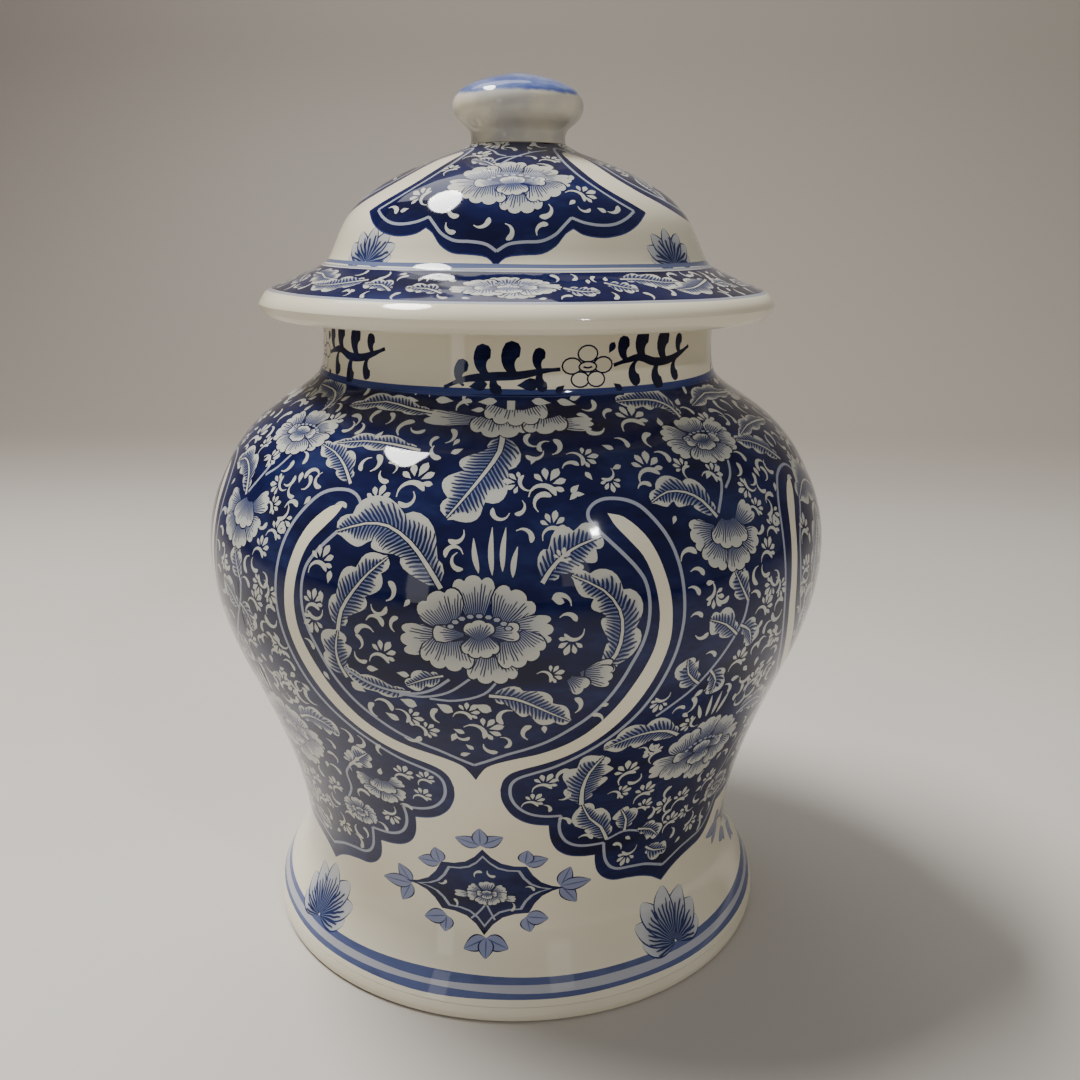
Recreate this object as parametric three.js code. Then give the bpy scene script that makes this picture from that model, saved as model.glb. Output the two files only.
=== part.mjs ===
// Covered baluster jar (ginger jar) in glazed porcelain, millimetres, +Z up.
// Two loose pieces: the jar (wall, collar, foot ring luted into one) and its
// lid (cover, knob, locating ring luted into one).  Every luted part is a
// solid of revolution about the Z axis and has its own node.
import * as THREE from 'three';

// ---- driving dimensions -------------------------------------------------
const SEGMENTS = 48;          // facets round the axis, a multiple of four
const JOINT_GAP = 0.3;        // clearance between luted parts and at the seat

const FOOT_RING_TOP = 5.6;    // height of the turned foot ring
const FOOT_RING_BORE = 79.5;  // inner radius of the foot ring
const WALL_TOP = 189.8;       // shoulder edge, where the collar starts
const FLOOR_Z = 13.0;         // inside floor of the jar
const COLLAR_TOP = 212.4;     // rim of the collar, on which the lid rests
const COLLAR_BORE = 58.8;     // inner radius of the collar
const SEAT_Z = COLLAR_TOP + JOINT_GAP;   // flat under the lid's brim
const KNOB_BASE_Z = 260.1;    // flat on the cover on which the knob stands
const RING_OUTER = 56.2;      // locating ring under the lid
const RING_INNER = 52.0;
const RING_BOTTOM = 200.6;

// Outside of the jar wall, from the foot ring to the shoulder edge: [r, z].
const WALL_OUTSIDE = [
  [87.5, 5.9], [84.4, 12.5], [81.6, 16.8], [79.3, 20.6], [77.5, 24.5], [76.5, 29],
  [76.4, 34], [76.9, 40], [78.1, 47.5], [80.3, 57], [83.6, 68], [88.1, 80.5],
  [92.8, 92.5], [97.1, 103], [100.6, 114], [102.6, 124], [103.3, 134],
  [102.5, 143], [100.2, 151.5], [96.6, 159.3], [91.7, 167.6], [85.2, 174.6],
  [77.5, 180.4], [70.9, 184.7], [67.0, 187.7], [65.4, WALL_TOP],
];
// Inside of the jar wall, from the shoulder edge down to the floor's edge.
const WALL_INSIDE = [
  [58.8, WALL_TOP], [61.5, 186.4], [67.2, 181.8], [75.2, 175.6], [82.4, 169],
  [88.6, 161.3], [93.6, 152], [96.8, 141.5], [97.6, 132], [96.4, 120],
  [92.8, 106.5], [87.2, 92], [81.6, 78], [76.2, 63], [72.6, 48], [70.6, 34],
  [69.6, 22], [66.5, 15.6], [61, FLOOR_Z],
];
// Outside of the collar above the shoulder edge.
const COLLAR_OUTSIDE = [
  [65.1, WALL_TOP + JOINT_GAP], [64.3, 193], [63.9, 197], [63.8, 204], [63.8, 209.6],
];
// Outside of the cover, from the knob's seat to the top of the brim.
const COVER_OUTSIDE = [
  [15.4, KNOB_BASE_Z - JOINT_GAP], [18.3, 258.2], [22.8, 256.5], [29.2, 254.2],
  [36.2, 251.3], [42.3, 248.2], [47.2, 245.1], [51.2, 241.7], [54.3, 238.1],
  [56.7, 234.2], [58.4, 230.5], [59.7, 227.5],
];
const BRIM_TOP = [
  [60.8, 225.3], [63.0, 223.2], [68.6, 220.6], [74.2, 218.2], [79.4, 216.0],
];
const BRIM_ROLL = [
  [81.2, 214.9], [82.7, 213.4], [83.3, 211.6], [82.8, 209.6], [81.0, 207.9],
  [79.0, 207.6], [77.6, 209.0], [77.2, SEAT_Z],
];
// Underside of the cover, inside the locating ring, from the ring inwards.
const COVER_INSIDE = [
  [51.7, SEAT_Z], [52.2, 220], [51.2, 228], [47.6, 235.4], [41.2, 241.6],
  [32, 246.8], [20, 250.6], [0, 252.4],
];
// Outside of the knob, from its foot to its crown.
const KNOB_OUTSIDE = [
  [15.2, KNOB_BASE_Z], [15.0, 261.8], [15.3, 263.6], [16.5, 265.1], [18.5, 266.7],
  [20.1, 268.8], [20.7, 271.2], [20.2, 273.4], [18.4, 275.7], [14.5, 277.9],
  [9.3, 279.5], [4, 280.7],
];
const KNOB_CROWN_Z = 281;

// ---- finishes -------------------------------------------------------------
const finish = (name, hex, roughness) => {
  const m = new THREE.MeshStandardMaterial({ color: hex, roughness, metalness: 0 });
  m.name = name;
  return m;
};
const bluePainted = finish('painted_glaze', 0x3d4f8c, 0.12);
const paleGlaze = finish('pale_glaze', 0xd9d6cc, 0.12);
const ringGlaze = finish('foot_glaze', 0xcfcbc0, 0.2);
const liningGlaze = finish('lining_glaze', 0xd3d0c6, 0.25);
const knobGlaze = finish('knob_glaze', 0xb9bccb, 0.12);

// ---- helpers ---------------------------------------------------------------
// A smooth run through the given [r, z] pairs, cut into a set number of steps.
const smoothRun = (pairs, steps) => {
  const curve = new THREE.SplineCurve(pairs.map(([r, z]) => new THREE.Vector2(r, z)));
  return curve.getSpacedPoints(steps);
};
const corner = (r, z) => new THREE.Vector2(r, z);

// Turn a counter-clockwise outline (seen with r right, z up) about the Z axis.
const turned = (name, outline, material) => {
  const geometry = new THREE.LatheGeometry(outline, SEGMENTS);
  geometry.rotateX(Math.PI / 2);
  const mesh = new THREE.Mesh(geometry, material);
  mesh.name = name;
  return mesh;
};
const closed = (points) => [...points, points[0].clone()];

// ---- the jar ---------------------------------------------------------------
const footRing = () => turned('foot_ring', closed([
  corner(FOOT_RING_BORE, 1.2), corner(FOOT_RING_BORE + 1, 0), corner(86.8, 0),
  corner(87.7, 1.0), corner(88.1, 3.2), corner(87.6, FOOT_RING_TOP),
  corner(FOOT_RING_BORE, FOOT_RING_TOP),
]), ringGlaze);

const jarWall = () => turned('jar_wall', [
  corner(0, FOOT_RING_TOP + JOINT_GAP),
  ...smoothRun(WALL_OUTSIDE, 30),
  ...smoothRun(WALL_INSIDE, 18),
  corner(0, FLOOR_Z),
], bluePainted);

const collar = () => turned('collar', closed([
  corner(COLLAR_BORE, WALL_TOP + JOINT_GAP),
  ...smoothRun(COLLAR_OUTSIDE, 4),
  corner(63.3, 211.4), corner(61.8, COLLAR_TOP), corner(60.2, COLLAR_TOP),
  corner(COLLAR_BORE, 211.2),
]), paleGlaze);

// ---- the lid ----------------------------------------------------------------
const cover = () => turned('lid_cover', [
  ...smoothRun([...COVER_INSIDE].reverse(), 11),
  ...smoothRun([...BRIM_ROLL].reverse(), 8),
  ...smoothRun([...BRIM_TOP].reverse(), 4),
  ...smoothRun([...COVER_OUTSIDE].reverse(), 13),
  corner(0, KNOB_BASE_Z - JOINT_GAP),
], bluePainted);

const locatingRing = () => turned('locating_ring', closed([
  corner(RING_INNER, RING_BOTTOM + 1), corner(RING_INNER + 1, RING_BOTTOM),
  corner(RING_OUTER - 1, RING_BOTTOM), corner(RING_OUTER, RING_BOTTOM + 1),
  corner(RING_OUTER, SEAT_Z - JOINT_GAP), corner(RING_INNER, SEAT_Z - JOINT_GAP),
]), liningGlaze);

const knob = () => turned('lid_knob', [
  corner(0, KNOB_BASE_Z),
  ...smoothRun(KNOB_OUTSIDE, 13),
  corner(0, KNOB_CROWN_Z),
], knobGlaze);

const jar = new THREE.Group();
jar.name = 'ginger_jar';
for (const make of [footRing, jarWall, collar, cover, locatingRing, knob]) jar.add(make());
export default jar;
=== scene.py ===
"""Looks of a covered porcelain jar, painted in underglaze blue.

The jar and its lid are turned shapes.  Their painting is inlaid in the mesh:
each painted part is drawn as flat outlines on the unrolled surface (an angle
round the axis and a distance up the profile), the outlines are cut into
triangles together, and the sheet is rolled back on to the profile.
"""

import math

import bpy
import numpy as np
from mathutils import Matrix, Vector
from mathutils.geometry import delaunay_2d_cdt


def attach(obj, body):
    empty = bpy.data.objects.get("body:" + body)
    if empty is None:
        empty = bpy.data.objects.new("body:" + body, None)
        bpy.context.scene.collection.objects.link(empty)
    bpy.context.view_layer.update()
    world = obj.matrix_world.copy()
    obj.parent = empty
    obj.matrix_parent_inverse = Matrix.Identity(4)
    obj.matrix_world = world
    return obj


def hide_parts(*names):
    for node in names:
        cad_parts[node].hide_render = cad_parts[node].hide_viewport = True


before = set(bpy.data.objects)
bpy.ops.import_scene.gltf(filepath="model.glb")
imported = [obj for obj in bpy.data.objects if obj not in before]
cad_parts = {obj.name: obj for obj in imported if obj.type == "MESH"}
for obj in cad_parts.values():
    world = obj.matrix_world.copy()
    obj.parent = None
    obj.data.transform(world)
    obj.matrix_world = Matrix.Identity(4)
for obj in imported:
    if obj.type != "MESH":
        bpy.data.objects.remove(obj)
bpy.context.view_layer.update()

MM = 0.001
RAD = math.pi / 180

# ------------------------------------------------------------------ profiles
# [radius, height] in millimetres.  They follow the corners of the solids to about a
# millimetre, with the narrow joints between luted pieces closed up.
FOOT_BORE = 79.5
FOOT_TOP = 5.8
WALL_FOOT = FOOT_TOP + 0.24     # the profile's corner just over the foot ring
SHOULDER_EDGE = 190.0           # where the wall ends and the collar starts
KNOB_FLAT_R = 15.4              # the flat on the cover that carries the knob
KNOB_FLAT_Z = 259.8
KNOB_FOOT_Z = 259.84            # underside of the knob
JAR_OUTSIDE = [
    [87.9, 0.0], [88.1, 3.2], [87.6, WALL_FOOT], [84.4, 12.5], [81.6, 16.8], [79.3, 20.6],
    [77.5, 24.5], [76.5, 29], [76.4, 34], [76.9, 40], [78.1, 47.5], [80.3, 57], [83.6, 68],
    [88.1, 80.5], [92.8, 92.5], [97.1, 103], [100.6, 114], [102.6, 124], [103.3, 134],
    [102.5, 143], [100.2, 151.5], [96.6, 159.3], [91.7, 167.6], [85.2, 174.6], [77.5, 180.4],
    [70.9, 184.7], [67.0, 187.7], [65.3, SHOULDER_EDGE], [64.3, 193], [63.9, 197], [63.8, 204],
    [63.8, 209.6],
]
COLLAR_RIM = [
    [63.3, 211.4], [61.8, 212.4], [60.2, 212.4], [59.1, 211.9], [58.8, 210.8], [58.8, 200],
    [58.8, SHOULDER_EDGE],
]
WALL_INSIDE = [
    [58.8, 189.9], [61.5, 186.4], [67.2, 181.8], [75.2, 175.6], [82.4, 169], [88.6, 161.3],
    [93.6, 152], [96.8, 141.5], [97.6, 132], [96.4, 120], [92.8, 106.5], [87.2, 92],
    [81.6, 78], [76.2, 63], [72.6, 48], [70.6, 34], [69.6, 22], [66.5, 15.6], [61, 13.0],
    [30, 13.0], [0, 13.0],
]
LID_OUTSIDE = [
    [83.3, 211.6], [82.7, 213.4], [81.2, 214.9], [79.4, 216.0], [74.2, 218.2], [68.6, 220.6],
    [63.0, 223.2], [60.8, 225.3], [59.7, 227.5], [58.4, 230.5], [56.7, 234.2], [54.3, 238.1],
    [51.2, 241.7], [47.2, 245.1], [42.3, 248.2], [36.2, 251.3], [29.2, 254.2], [22.8, 256.5],
    [18.3, 258.2], [KNOB_FLAT_R, KNOB_FLAT_Z],
]
LID_UNDERSIDE = [
    [0, 252.4], [20, 250.6], [32, 246.8], [41.2, 241.6], [47.6, 235.4], [51.2, 228],
    [52.2, 220], [51.9, 214], [53.5, 212.7], [66, 212.7], [76.2, 212.7], [77.3, 211.5],
    [77.6, 209.0], [79.0, 207.6], [81.0, 207.9], [82.8, 209.6],
]
KNOB_OUTSIDE = [
    [15.2, 260.1], [15.0, 261.8], [15.3, 263.6], [16.5, 265.1], [18.5, 266.7], [20.1, 268.8],
    [20.7, 271.2], [20.2, 273.4], [18.4, 275.7], [14.5, 277.9], [9.3, 279.5], [4, 280.7],
    [0, 281.0],
]
LOCATING_RING = [
    [52.0, 212.4], [52.0, 207], [52.0, 202.2], [52.6, 200.9], [54.1, 200.6], [55.6, 200.9],
    [56.2, 202.2], [56.2, 207], [56.2, 212.4],
]
FOOT_RING = [
    [FOOT_BORE, FOOT_TOP], [FOOT_BORE, 3.5], [FOOT_BORE, 1.2], [80.1, 0.3], [81.0, 0.0],
    [84, 0.0], [86.6, 0.0], [87.6, 0.7], [88.0, 2.0], [88.1, 3.2], [87.6, FOOT_TOP],
]

# --------------------------------------------------------------------- paints
def paint(red, green, blue):
    """A colour given as 0 to 255 display values, as the linear values that light works in."""
    value = np.array([red, green, blue]) / 255
    return np.where(value < 0.04045, value / 12.92, ((value + 0.055) / 1.055) ** 2.4)


CREAM = paint(239, 232, 210)
NAVY = paint(19, 24, 70)
INK = paint(14, 18, 52)
COBALT = paint(56, 68, 126)
LINE = paint(164, 170, 186)
MIST = paint(204, 205, 197)
HAZE = paint(108, 119, 156)
BANDING = paint(92, 102, 146)
LOTUS_PALE = paint(204, 206, 209)
LOTUS_EDGE = paint(46, 56, 108)
LOZENGE_LEAF = paint(138, 146, 180)
FOOT_STRIPE = paint(182, 184, 196)
STROKE_BLUE = paint(24, 32, 80)
THIN_NAVY = paint(42, 55, 108)
POOLED_NAVY = paint(11, 13, 38)
WARM_DRIFT = paint(243, 240, 234)
IRON_SPECK = paint(96, 80, 66)
KNOB_BLUE = paint(84, 102, 168)
KNOB_PALE_BLUE = paint(138, 152, 196)
KNOB_SIDE = paint(200, 198, 194)
BARE_CLAY = paint(196, 178, 152)
DARK_CLAY = paint(150, 126, 100)
CREAM_SHADE = paint(212, 210, 200)
TABLE = paint(206, 202, 195)
TABLE_SHADE = paint(199, 194, 186)
# painted shade on the far table and wall: darker to the left, lighter to the right
PAINTED_SHADE_FAR_LEFT = paint(146, 138, 130)
PAINTED_SHADE_FAR_RIGHT = paint(178, 171, 161)
# painted shade on the table close to the viewer
PAINTED_SHADE_NEAR = paint(96, 90, 84)

PLAIN = 0.0


# --------------------------------------------------------- runs and profiles
def smooth_line(corners, steps=12):
    """A smooth run through the corners: each span is the cubic that leaves and meets its
    ends along the chord between their neighbours, for its own length."""
    p = np.asarray(corners, float)
    gap = np.maximum(np.linalg.norm(np.diff(p, axis=0), axis=1), 1e-9)
    lean = np.empty_like(p)
    lean[1:-1] = (p[2:] - p[:-2]) / (gap[1:] + gap[:-1])[:, None]
    lean[0] = (p[1] - p[0]) / gap[0]
    lean[-1] = (p[-1] - p[-2]) / gap[-1]
    t = np.linspace(0, 1, steps, endpoint=False)[None, :, None]
    start, stop = p[:-1, None], p[1:, None]
    leave, meet = (lean[:-1] * gap[:, None])[:, None], (lean[1:] * gap[:, None])[:, None]
    run = ((2 * t**3 - 3 * t**2 + 1) * start + (t**3 - 2 * t**2 + t) * leave
           + (3 * t**2 - 2 * t**3) * stop + (t**3 - t**2) * meet)
    return np.vstack([run.reshape(-1, 2), p[-1:]])


def lengths(run):
    """Distance along a run at each of its points."""
    return np.concatenate([[0], np.cumsum(np.linalg.norm(np.diff(run, axis=0), axis=1))])


class Profile:
    """A turned outline, measured by the distance s along it in millimetres."""

    def __init__(self, corners):
        self.run = smooth_line(corners)
        self.s = lengths(self.run)
        self.length = self.s[-1]

    def at(self, s):
        return np.interp(s, self.s, self.run[:, 0]), np.interp(s, self.s, self.run[:, 1])

    def outward(self, s):
        """Radial and upward parts of the normal: the slope over 0.6 mm, turned clockwise."""
        r0, z0 = self.at(s - 0.3)
        r1, z1 = self.at(s + 0.3)
        size = np.maximum(np.hypot(r1 - r0, z1 - z0), 1e-9)
        return (z1 - z0) / size, (r0 - r1) / size


def turn(points, degrees):
    """Flat points turned anticlockwise about the origin."""
    c, s = math.cos(degrees * RAD), math.sin(degrees * RAD)
    x, y = points[:, 0], points[:, 1]
    return np.column_stack([c * x - s * y, s * x + c * y])


def clipped(places, limit, side):
    """The part of an outline with a below limit (side 1) or above it (side -1); where an
    edge crosses, a new corner is put exactly on the limit."""
    room = side * (limit - places[:, 0])
    after = np.roll(places, -1, axis=0)
    room_after = np.roll(room, -1)
    crosses = (room >= 0) != (room_after >= 0)
    share = np.where(crosses, room / np.where(crosses, room - room_after, 1), 0)
    at = places + (after - places) * share[:, None]
    at[:, 0] = limit
    both = np.stack([places, at], axis=1).reshape(-1, 2)
    return both[np.stack([room >= 0, crosses], axis=1).ravel()]


def within(points, outline):
    """True for each point the outline winds round, so a stroke that crosses itself stays
    filled: edges that rise past the point less edges that fall past it."""
    x, y = points[:, 0:1], points[:, 1:2]
    x0, y0 = outline[:, 0][None], outline[:, 1][None]
    x1, y1 = np.roll(x0, -1), np.roll(y0, -1)
    spans = (y0 > y) != (y1 > y)
    at = x0 + (y - y0) / np.where(spans, y1 - y0, 1) * (x1 - x0)
    passed = (spans & (x < at)) * np.where(y1 > y0, 1, -1)
    return np.sum(passed, axis=1) != 0


# --------------------------------------------------------------- painted sheet
EDGE_CLEAR = 0.08       # painted shapes stop this short of a sheet's upper and lower edges


class Sheet:
    """One sheet of painting on a profile from s = start to s = end.  Places are (a, s):
    degrees round the axis and millimetres up the profile.  Outlines are drawn flat, in
    millimetres, x along the turn from an anchor angle and y = s, and later ones cover
    earlier ones."""

    def __init__(self, profile, start, end, reach, step_deg, step_mm):
        self.profile, self.start, self.end = profile, start, end
        self.reach = reach
        self.step_deg, self.step_mm = step_deg, step_mm
        self.shapes = []

    def scale(self, s):
        """Millimetres to one degree at s."""
        return np.maximum(self.profile.at(s)[0], 6.0) * RAD

    def flat(self, places, anchor):
        p = np.asarray(places, float)
        return np.column_stack([(p[:, 0] - anchor) * self.scale(p[:, 1]), p[:, 1]])

    def lay(self, outline, anchor, colour, kind=PLAIN, measure=None):
        """Adds an outline.  kind above 0 is a petal with that many strokes to a radian,
        kind below 0 a leaf; measure gives the stroke coordinates of flat points."""
        p = np.asarray(outline, float)
        angle = anchor + p[:, 0] / self.scale(p[:, 1])
        area = np.sum(p[:, 0] * np.roll(p[:, 1], -1) - np.roll(p[:, 0], -1) * p[:, 1])
        places = np.column_stack([angle, p[:, 1]])
        if area < 0:
            places = places[::-1]
        self.shapes.append((places, anchor, colour, kind, measure))

    def copies(self):
        """Every outline as it falls on this sheet, with its neighbours' that reach over."""
        for index, (places, anchor, colour, kind, measure) in enumerate(self.shapes):
            for turns in (-1, 0, 1):
                shift = 2 * self.reach * turns
                low, high = -self.reach - shift, self.reach - shift
                if places[:, 0].max() <= low or places[:, 0].min() >= high:
                    continue
                part = places
                if places[:, 0].max() > high:
                    part = clipped(part, high, 1)
                if places[:, 0].min() < low:
                    part = clipped(part, low, -1)
                if len(part) < 3:
                    continue
                part = part + [shift, 0]
                if np.ptp(part[:, 0]) < 2 * self.reach - 1e-6:
                    part[:, 1] = np.clip(part[:, 1], self.start + EDGE_CLEAR, self.end - EDGE_CLEAR)
                yield index, part, anchor + shift, colour, kind, measure

    def fill_gaps(self, ground, step, clear, size, seed):
        """Strews small sprigs, curls and drops over the bare ground: points of a shaken grid,
        step apart, where the ground lies on top, and at least clear away from the corners
        of every outline and from each other.  size scales them."""
        rng = np.random.default_rng(seed)
        wide = self.scale((self.start + self.end) / 2)
        s, a = np.meshgrid(np.arange(self.start, self.end, step),
                           np.arange(-self.reach, self.reach, step / wide))
        spots = np.column_stack([a.ravel(), s.ravel()])
        spots += rng.uniform(-0.4, 0.4, spots.shape) * [step / wide, step]
        top = np.full(len(spots), -1)
        edges = []
        for index, places, *_ in self.copies():
            top[within(spots, places)] = index
            edges.append(places)
        spots = spots[top == ground]
        edges = np.vstack(edges)
        rng.shuffle(spots)
        taken = np.zeros((0, 2))
        for a, s in spots:
            near = edges[np.abs(edges[:, 1] - s) < clear]
            near = near[np.abs(near[:, 0] - a) < clear / self.scale(s)]
            near = (np.vstack([near, taken]) - [a, s]) * [self.scale(s), 1]
            if np.min(np.hypot(near[:, 0], near[:, 1]), initial=clear) < clear:
                continue
            taken = np.vstack([taken, [a, s]])
            heading = rng.uniform(0, 360)
            kind = rng.random()
            if kind < 0.18:
                sprig(self, a, s, size * rng.uniform(1.15, 1.4), heading)
            elif kind < 0.66:
                comma(self, a, s, size * rng.uniform(0.9, 1.3), heading,
                      rng.choice([-1, 1]) * rng.uniform(130, 190), MIST, 0.36)
            else:
                drop(self, a, s, size * rng.uniform(0.6, 0.85), heading, MIST, 0.42)

    def cut(self):
        """Cuts the sheet into triangles along every outline.  Returns the points (a, s),
        the triangles, and for each triangle's corners the paint and the strokes."""
        wide = self.scale((self.start + self.end) / 2)
        across = np.arange(-self.reach, self.reach + 0.01, self.step_deg)
        up = np.linspace(self.start, self.end, 1 + round((self.end - self.start) / self.step_mm))
        edge = [(a, self.start) for a in across] + [(self.reach, s) for s in up[1:]]
        edge += [(a, self.end) for a in across[::-1][1:]]
        edge += [(-self.reach, s) for s in up[::-1][1:-1]]
        inner_a, inner_s = np.meshgrid(across[1:-1], up[1:-1])
        laid = [(np.array(edge), 0.0, CREAM, PLAIN, None)] + [part[1:] for part in self.copies()]
        sizes = [len(part[0]) for part in laid]
        firsts = np.concatenate([[0], np.cumsum(sizes)])
        joins = [(first + k, first + (k + 1) % size)
                 for first, size in zip(firsts, sizes) for k in range(size)]
        points = [part[0] for part in laid]
        points.append(np.column_stack([inner_a.ravel(), inner_s.ravel()]))
        flat = np.vstack(points) * [wide, 1]
        cut = delaunay_2d_cdt([Vector(p) for p in flat], joins, [], 0, 1e-3, False)
        places = np.array([tuple(p) for p in cut[0]]) / [wide, 1]
        triangles = np.array(cut[2])
        middle = places[triangles].mean(axis=1)
        top = np.full(len(triangles), -1)
        for index, part in enumerate(laid):
            low, high = part[0].min(axis=0), part[0].max(axis=0)
            near = np.flatnonzero(np.all((middle > low) & (middle < high), axis=1))
            top[near[within(middle[near], part[0])]] = index
        inside = (np.abs(middle[:, 0]) < self.reach) & (middle[:, 1] > self.start)
        inside &= middle[:, 1] < self.end
        triangles, top = triangles[inside], np.maximum(top[inside], 0)
        colours = np.zeros((len(triangles), 3, 4))
        strokes = np.zeros((len(triangles), 3, 3))
        colours[:, :, 3] = 1
        for index in np.unique(top):
            _, anchor, colour, kind, measure = laid[index]
            mine = top == index
            colours[mine, :, :3] = colour
            if measure is not None:
                corner = self.flat(places[triangles[mine]].reshape(-1, 2), anchor)
                strokes[mine, :, :2] = measure(corner).reshape(-1, 3, 2)
                strokes[mine, :, 2] = kind
        return places, triangles, colours, strokes


# ---------------------------------------------------------------- brush shapes
def ribbon(spine, width, taper, steps=4):
    """A brush stroke along a smooth spine: half the width to each side, times the taper,
    which is a function of the way along from 0 to 1."""
    run = smooth_line(spine, steps)
    way = lengths(run) / lengths(run)[-1]
    along = np.gradient(run, axis=0)
    along /= np.maximum(np.linalg.norm(along, axis=1), 1e-9)[:, None]
    side = np.column_stack([-along[:, 1], along[:, 0]]) * (width * taper(way) / 2)[:, None]
    return np.vstack([run + side, (run - side)[::-1]])


def even(way):
    return np.ones_like(way)


def blade(way):
    """Thin at both ends, fullest just below the middle."""
    return np.maximum(np.sin(np.pi * way**0.8), 0.06) ** 0.8


def tailed(way):
    """A round head that draws out to a fine tail."""
    return np.sqrt(np.clip(way / 0.18, 0.05, 1)) * np.maximum(1 - way, 0.08) ** 0.75


def stem(sheet, places, width=0.9, colour=LINE, taper=even):
    anchor = places[0][0]
    sheet.lay(ribbon(sheet.flat(places, anchor), width, taper), anchor, colour)


def drop(sheet, a, s, size, heading, colour=MIST, fat=0.42):
    """A drop of paint, as long as size, pointed at its foot and round at its head."""
    t = np.linspace(0, 1, 6)
    half = fat * size * np.sin(np.pi * t**1.5) ** 0.8 / 1.6
    side = np.column_stack([half, t * size])
    outline = np.vstack([side, (side * [-1, 1])[::-1][1:-1]])
    outline = turn(outline, heading - 90) + [0, s]
    sheet.lay(outline, a, colour)


def comma(sheet, a, s, size, heading, bend=110, colour=MIST, fat=0.40):
    """A curled stroke: an arc of the given bend, with a round head and a fine tail."""
    angle = np.linspace(0, bend, 6) * RAD
    radius = size / (2 * math.sin(min(abs(bend), 170) * RAD / 2))
    arc = np.column_stack([np.sin(angle), 1 - np.cos(angle)]) * radius
    spine = turn(arc - arc.mean(axis=0), heading) + [0, s]
    sheet.lay(ribbon(spine, size * fat, tailed, 2), a, colour)


def sprig(sheet, a, s, size, heading=90, colour=MIST):
    """A palmette: five drops fanned over 152 degrees, and a fat curl beside its foot."""
    scale = sheet.scale(s)
    for lean, reach in ((-80, 0.40), (-42, 0.48), (-4, 0.58), (34, 0.48), (72, 0.40)):
        way = (heading + lean) * RAD
        drop(sheet, a + 0.20 * size * math.cos(way) / scale, s + 0.20 * size * math.sin(way),
             reach * size, heading + lean, colour, 0.40)
    way = (heading + 165) * RAD
    comma(sheet, a + 0.26 * size * math.cos(way) / scale, s + 0.26 * size * math.sin(way),
          0.90 * size, heading + 40, 165, colour, 0.28)


def strew(sheet, brush, rows, turn_by=0.0):
    """One brush shape for each row: its angle a, then all that the shape takes after it."""
    for a, *rest in rows:
        brush(sheet, turn_by + a, *rest)


def leaf(sheet, places, half, lobes=3, rib=0.95, spacing=1.25):
    """A lobed leaf along a spine.  Its edge stands off the spine by half, times a swelling
    that rises fast and closes at the tip, times rounded lobes.  Veins run from the rib to
    the edge, leaning forward."""
    anchor = places[0][0]
    spine = smooth_line(sheet.flat(places, anchor), 8)
    far = lengths(spine)
    way = far / far[-1]
    along = np.gradient(spine, axis=0)
    along /= np.linalg.norm(along, axis=1)[:, None]
    side = np.column_stack([-along[:, 1], along[:, 0]])

    def edge(t, offset):
        swell = np.maximum(np.sin(np.pi * np.clip(t, 0, 1) ** 0.9), 0.02) ** 0.6
        lobe = 0.50 + 0.50 * np.abs(np.sin(np.pi * (lobes * t + offset))) ** 0.6
        return half * swell * lobe

    fine = np.linspace(0, 1, 7 * lobes + 1)
    middle = np.column_stack([np.interp(fine, way, spine[:, k]) for k in (0, 1)])
    out = np.column_stack([np.interp(fine, way, side[:, k]) for k in (0, 1)])
    lean = np.column_stack([np.interp(fine, way, along[:, k]) for k in (0, 1)])
    left = middle + (out + 0.45 * lean) * edge(fine, 0.1)[:, None]
    right = middle - (out - 0.45 * lean) * edge(fine, 0.55)[:, None]

    def measure(points):
        gap = np.linalg.norm(points[:, None] - spine[None], axis=2)
        near = gap.argmin(axis=1)
        offset = np.sum((points - spine[near]) * side[near], axis=1)
        ahead = np.sum((points - spine[near]) * along[near], axis=1)
        t = np.clip((far[near] + ahead) / far[-1], 0, 1)
        room = np.where(offset > 0, edge(t, 0.1), edge(t, 0.55))
        phase = (far[near] + ahead - 0.6 * np.abs(offset)) / spacing
        return np.column_stack([offset / np.maximum(room, 0.6), phase])

    sheet.lay(np.vstack([left, right[::-1][1:-1]]), anchor, MIST, -1.0, measure)
    sheet.lay(ribbon(spine[::4], rib + 0.7, lambda t: 1 - 0.6 * t, 1), anchor, INK)
    sheet.lay(ribbon(spine[::4], rib, lambda t: 1 - 0.75 * t, 1), anchor, MIST)


# One open peony, 38 mm across.  Each petal: the point that its strokes spring from (x, y),
# the way it heads, the reach to its rim, half its spread, where it starts and its scallops.
PEONY = [
    (0.5, 0.0, 95, 14.5, 27, 0.35, 3), (3.5, -1.0, 58, 14.0, 30, 0.40, 3),
    (-4.0, -2.0, 117, 13.5, 34, 0.40, 3), (0.0, -1.0, 184, 18.5, 17, 0.30, 3),
    (0.0, 1.0, 2, 18.5, 15, 0.30, 3), (3.5, 1.5, 272, 14.5, 33, 0.50, 4),
    (-5.5, 4.5, 262, 14.3, 36, 0.45, 4), (6.0, 4.5, 300, 13.5, 36, 0.45, 4),
    (-1.5, 0.0, 180, 8.6, 20, 0.15, 1), (1.5, 0.8, 2, 9.0, 20, 0.15, 2),
    (1.0, 1.5, 272, 7.4, 50, 0.20, 4), (1.0, -1.6, 92, 5.4, 58, 0.0, 3),
]


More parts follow.
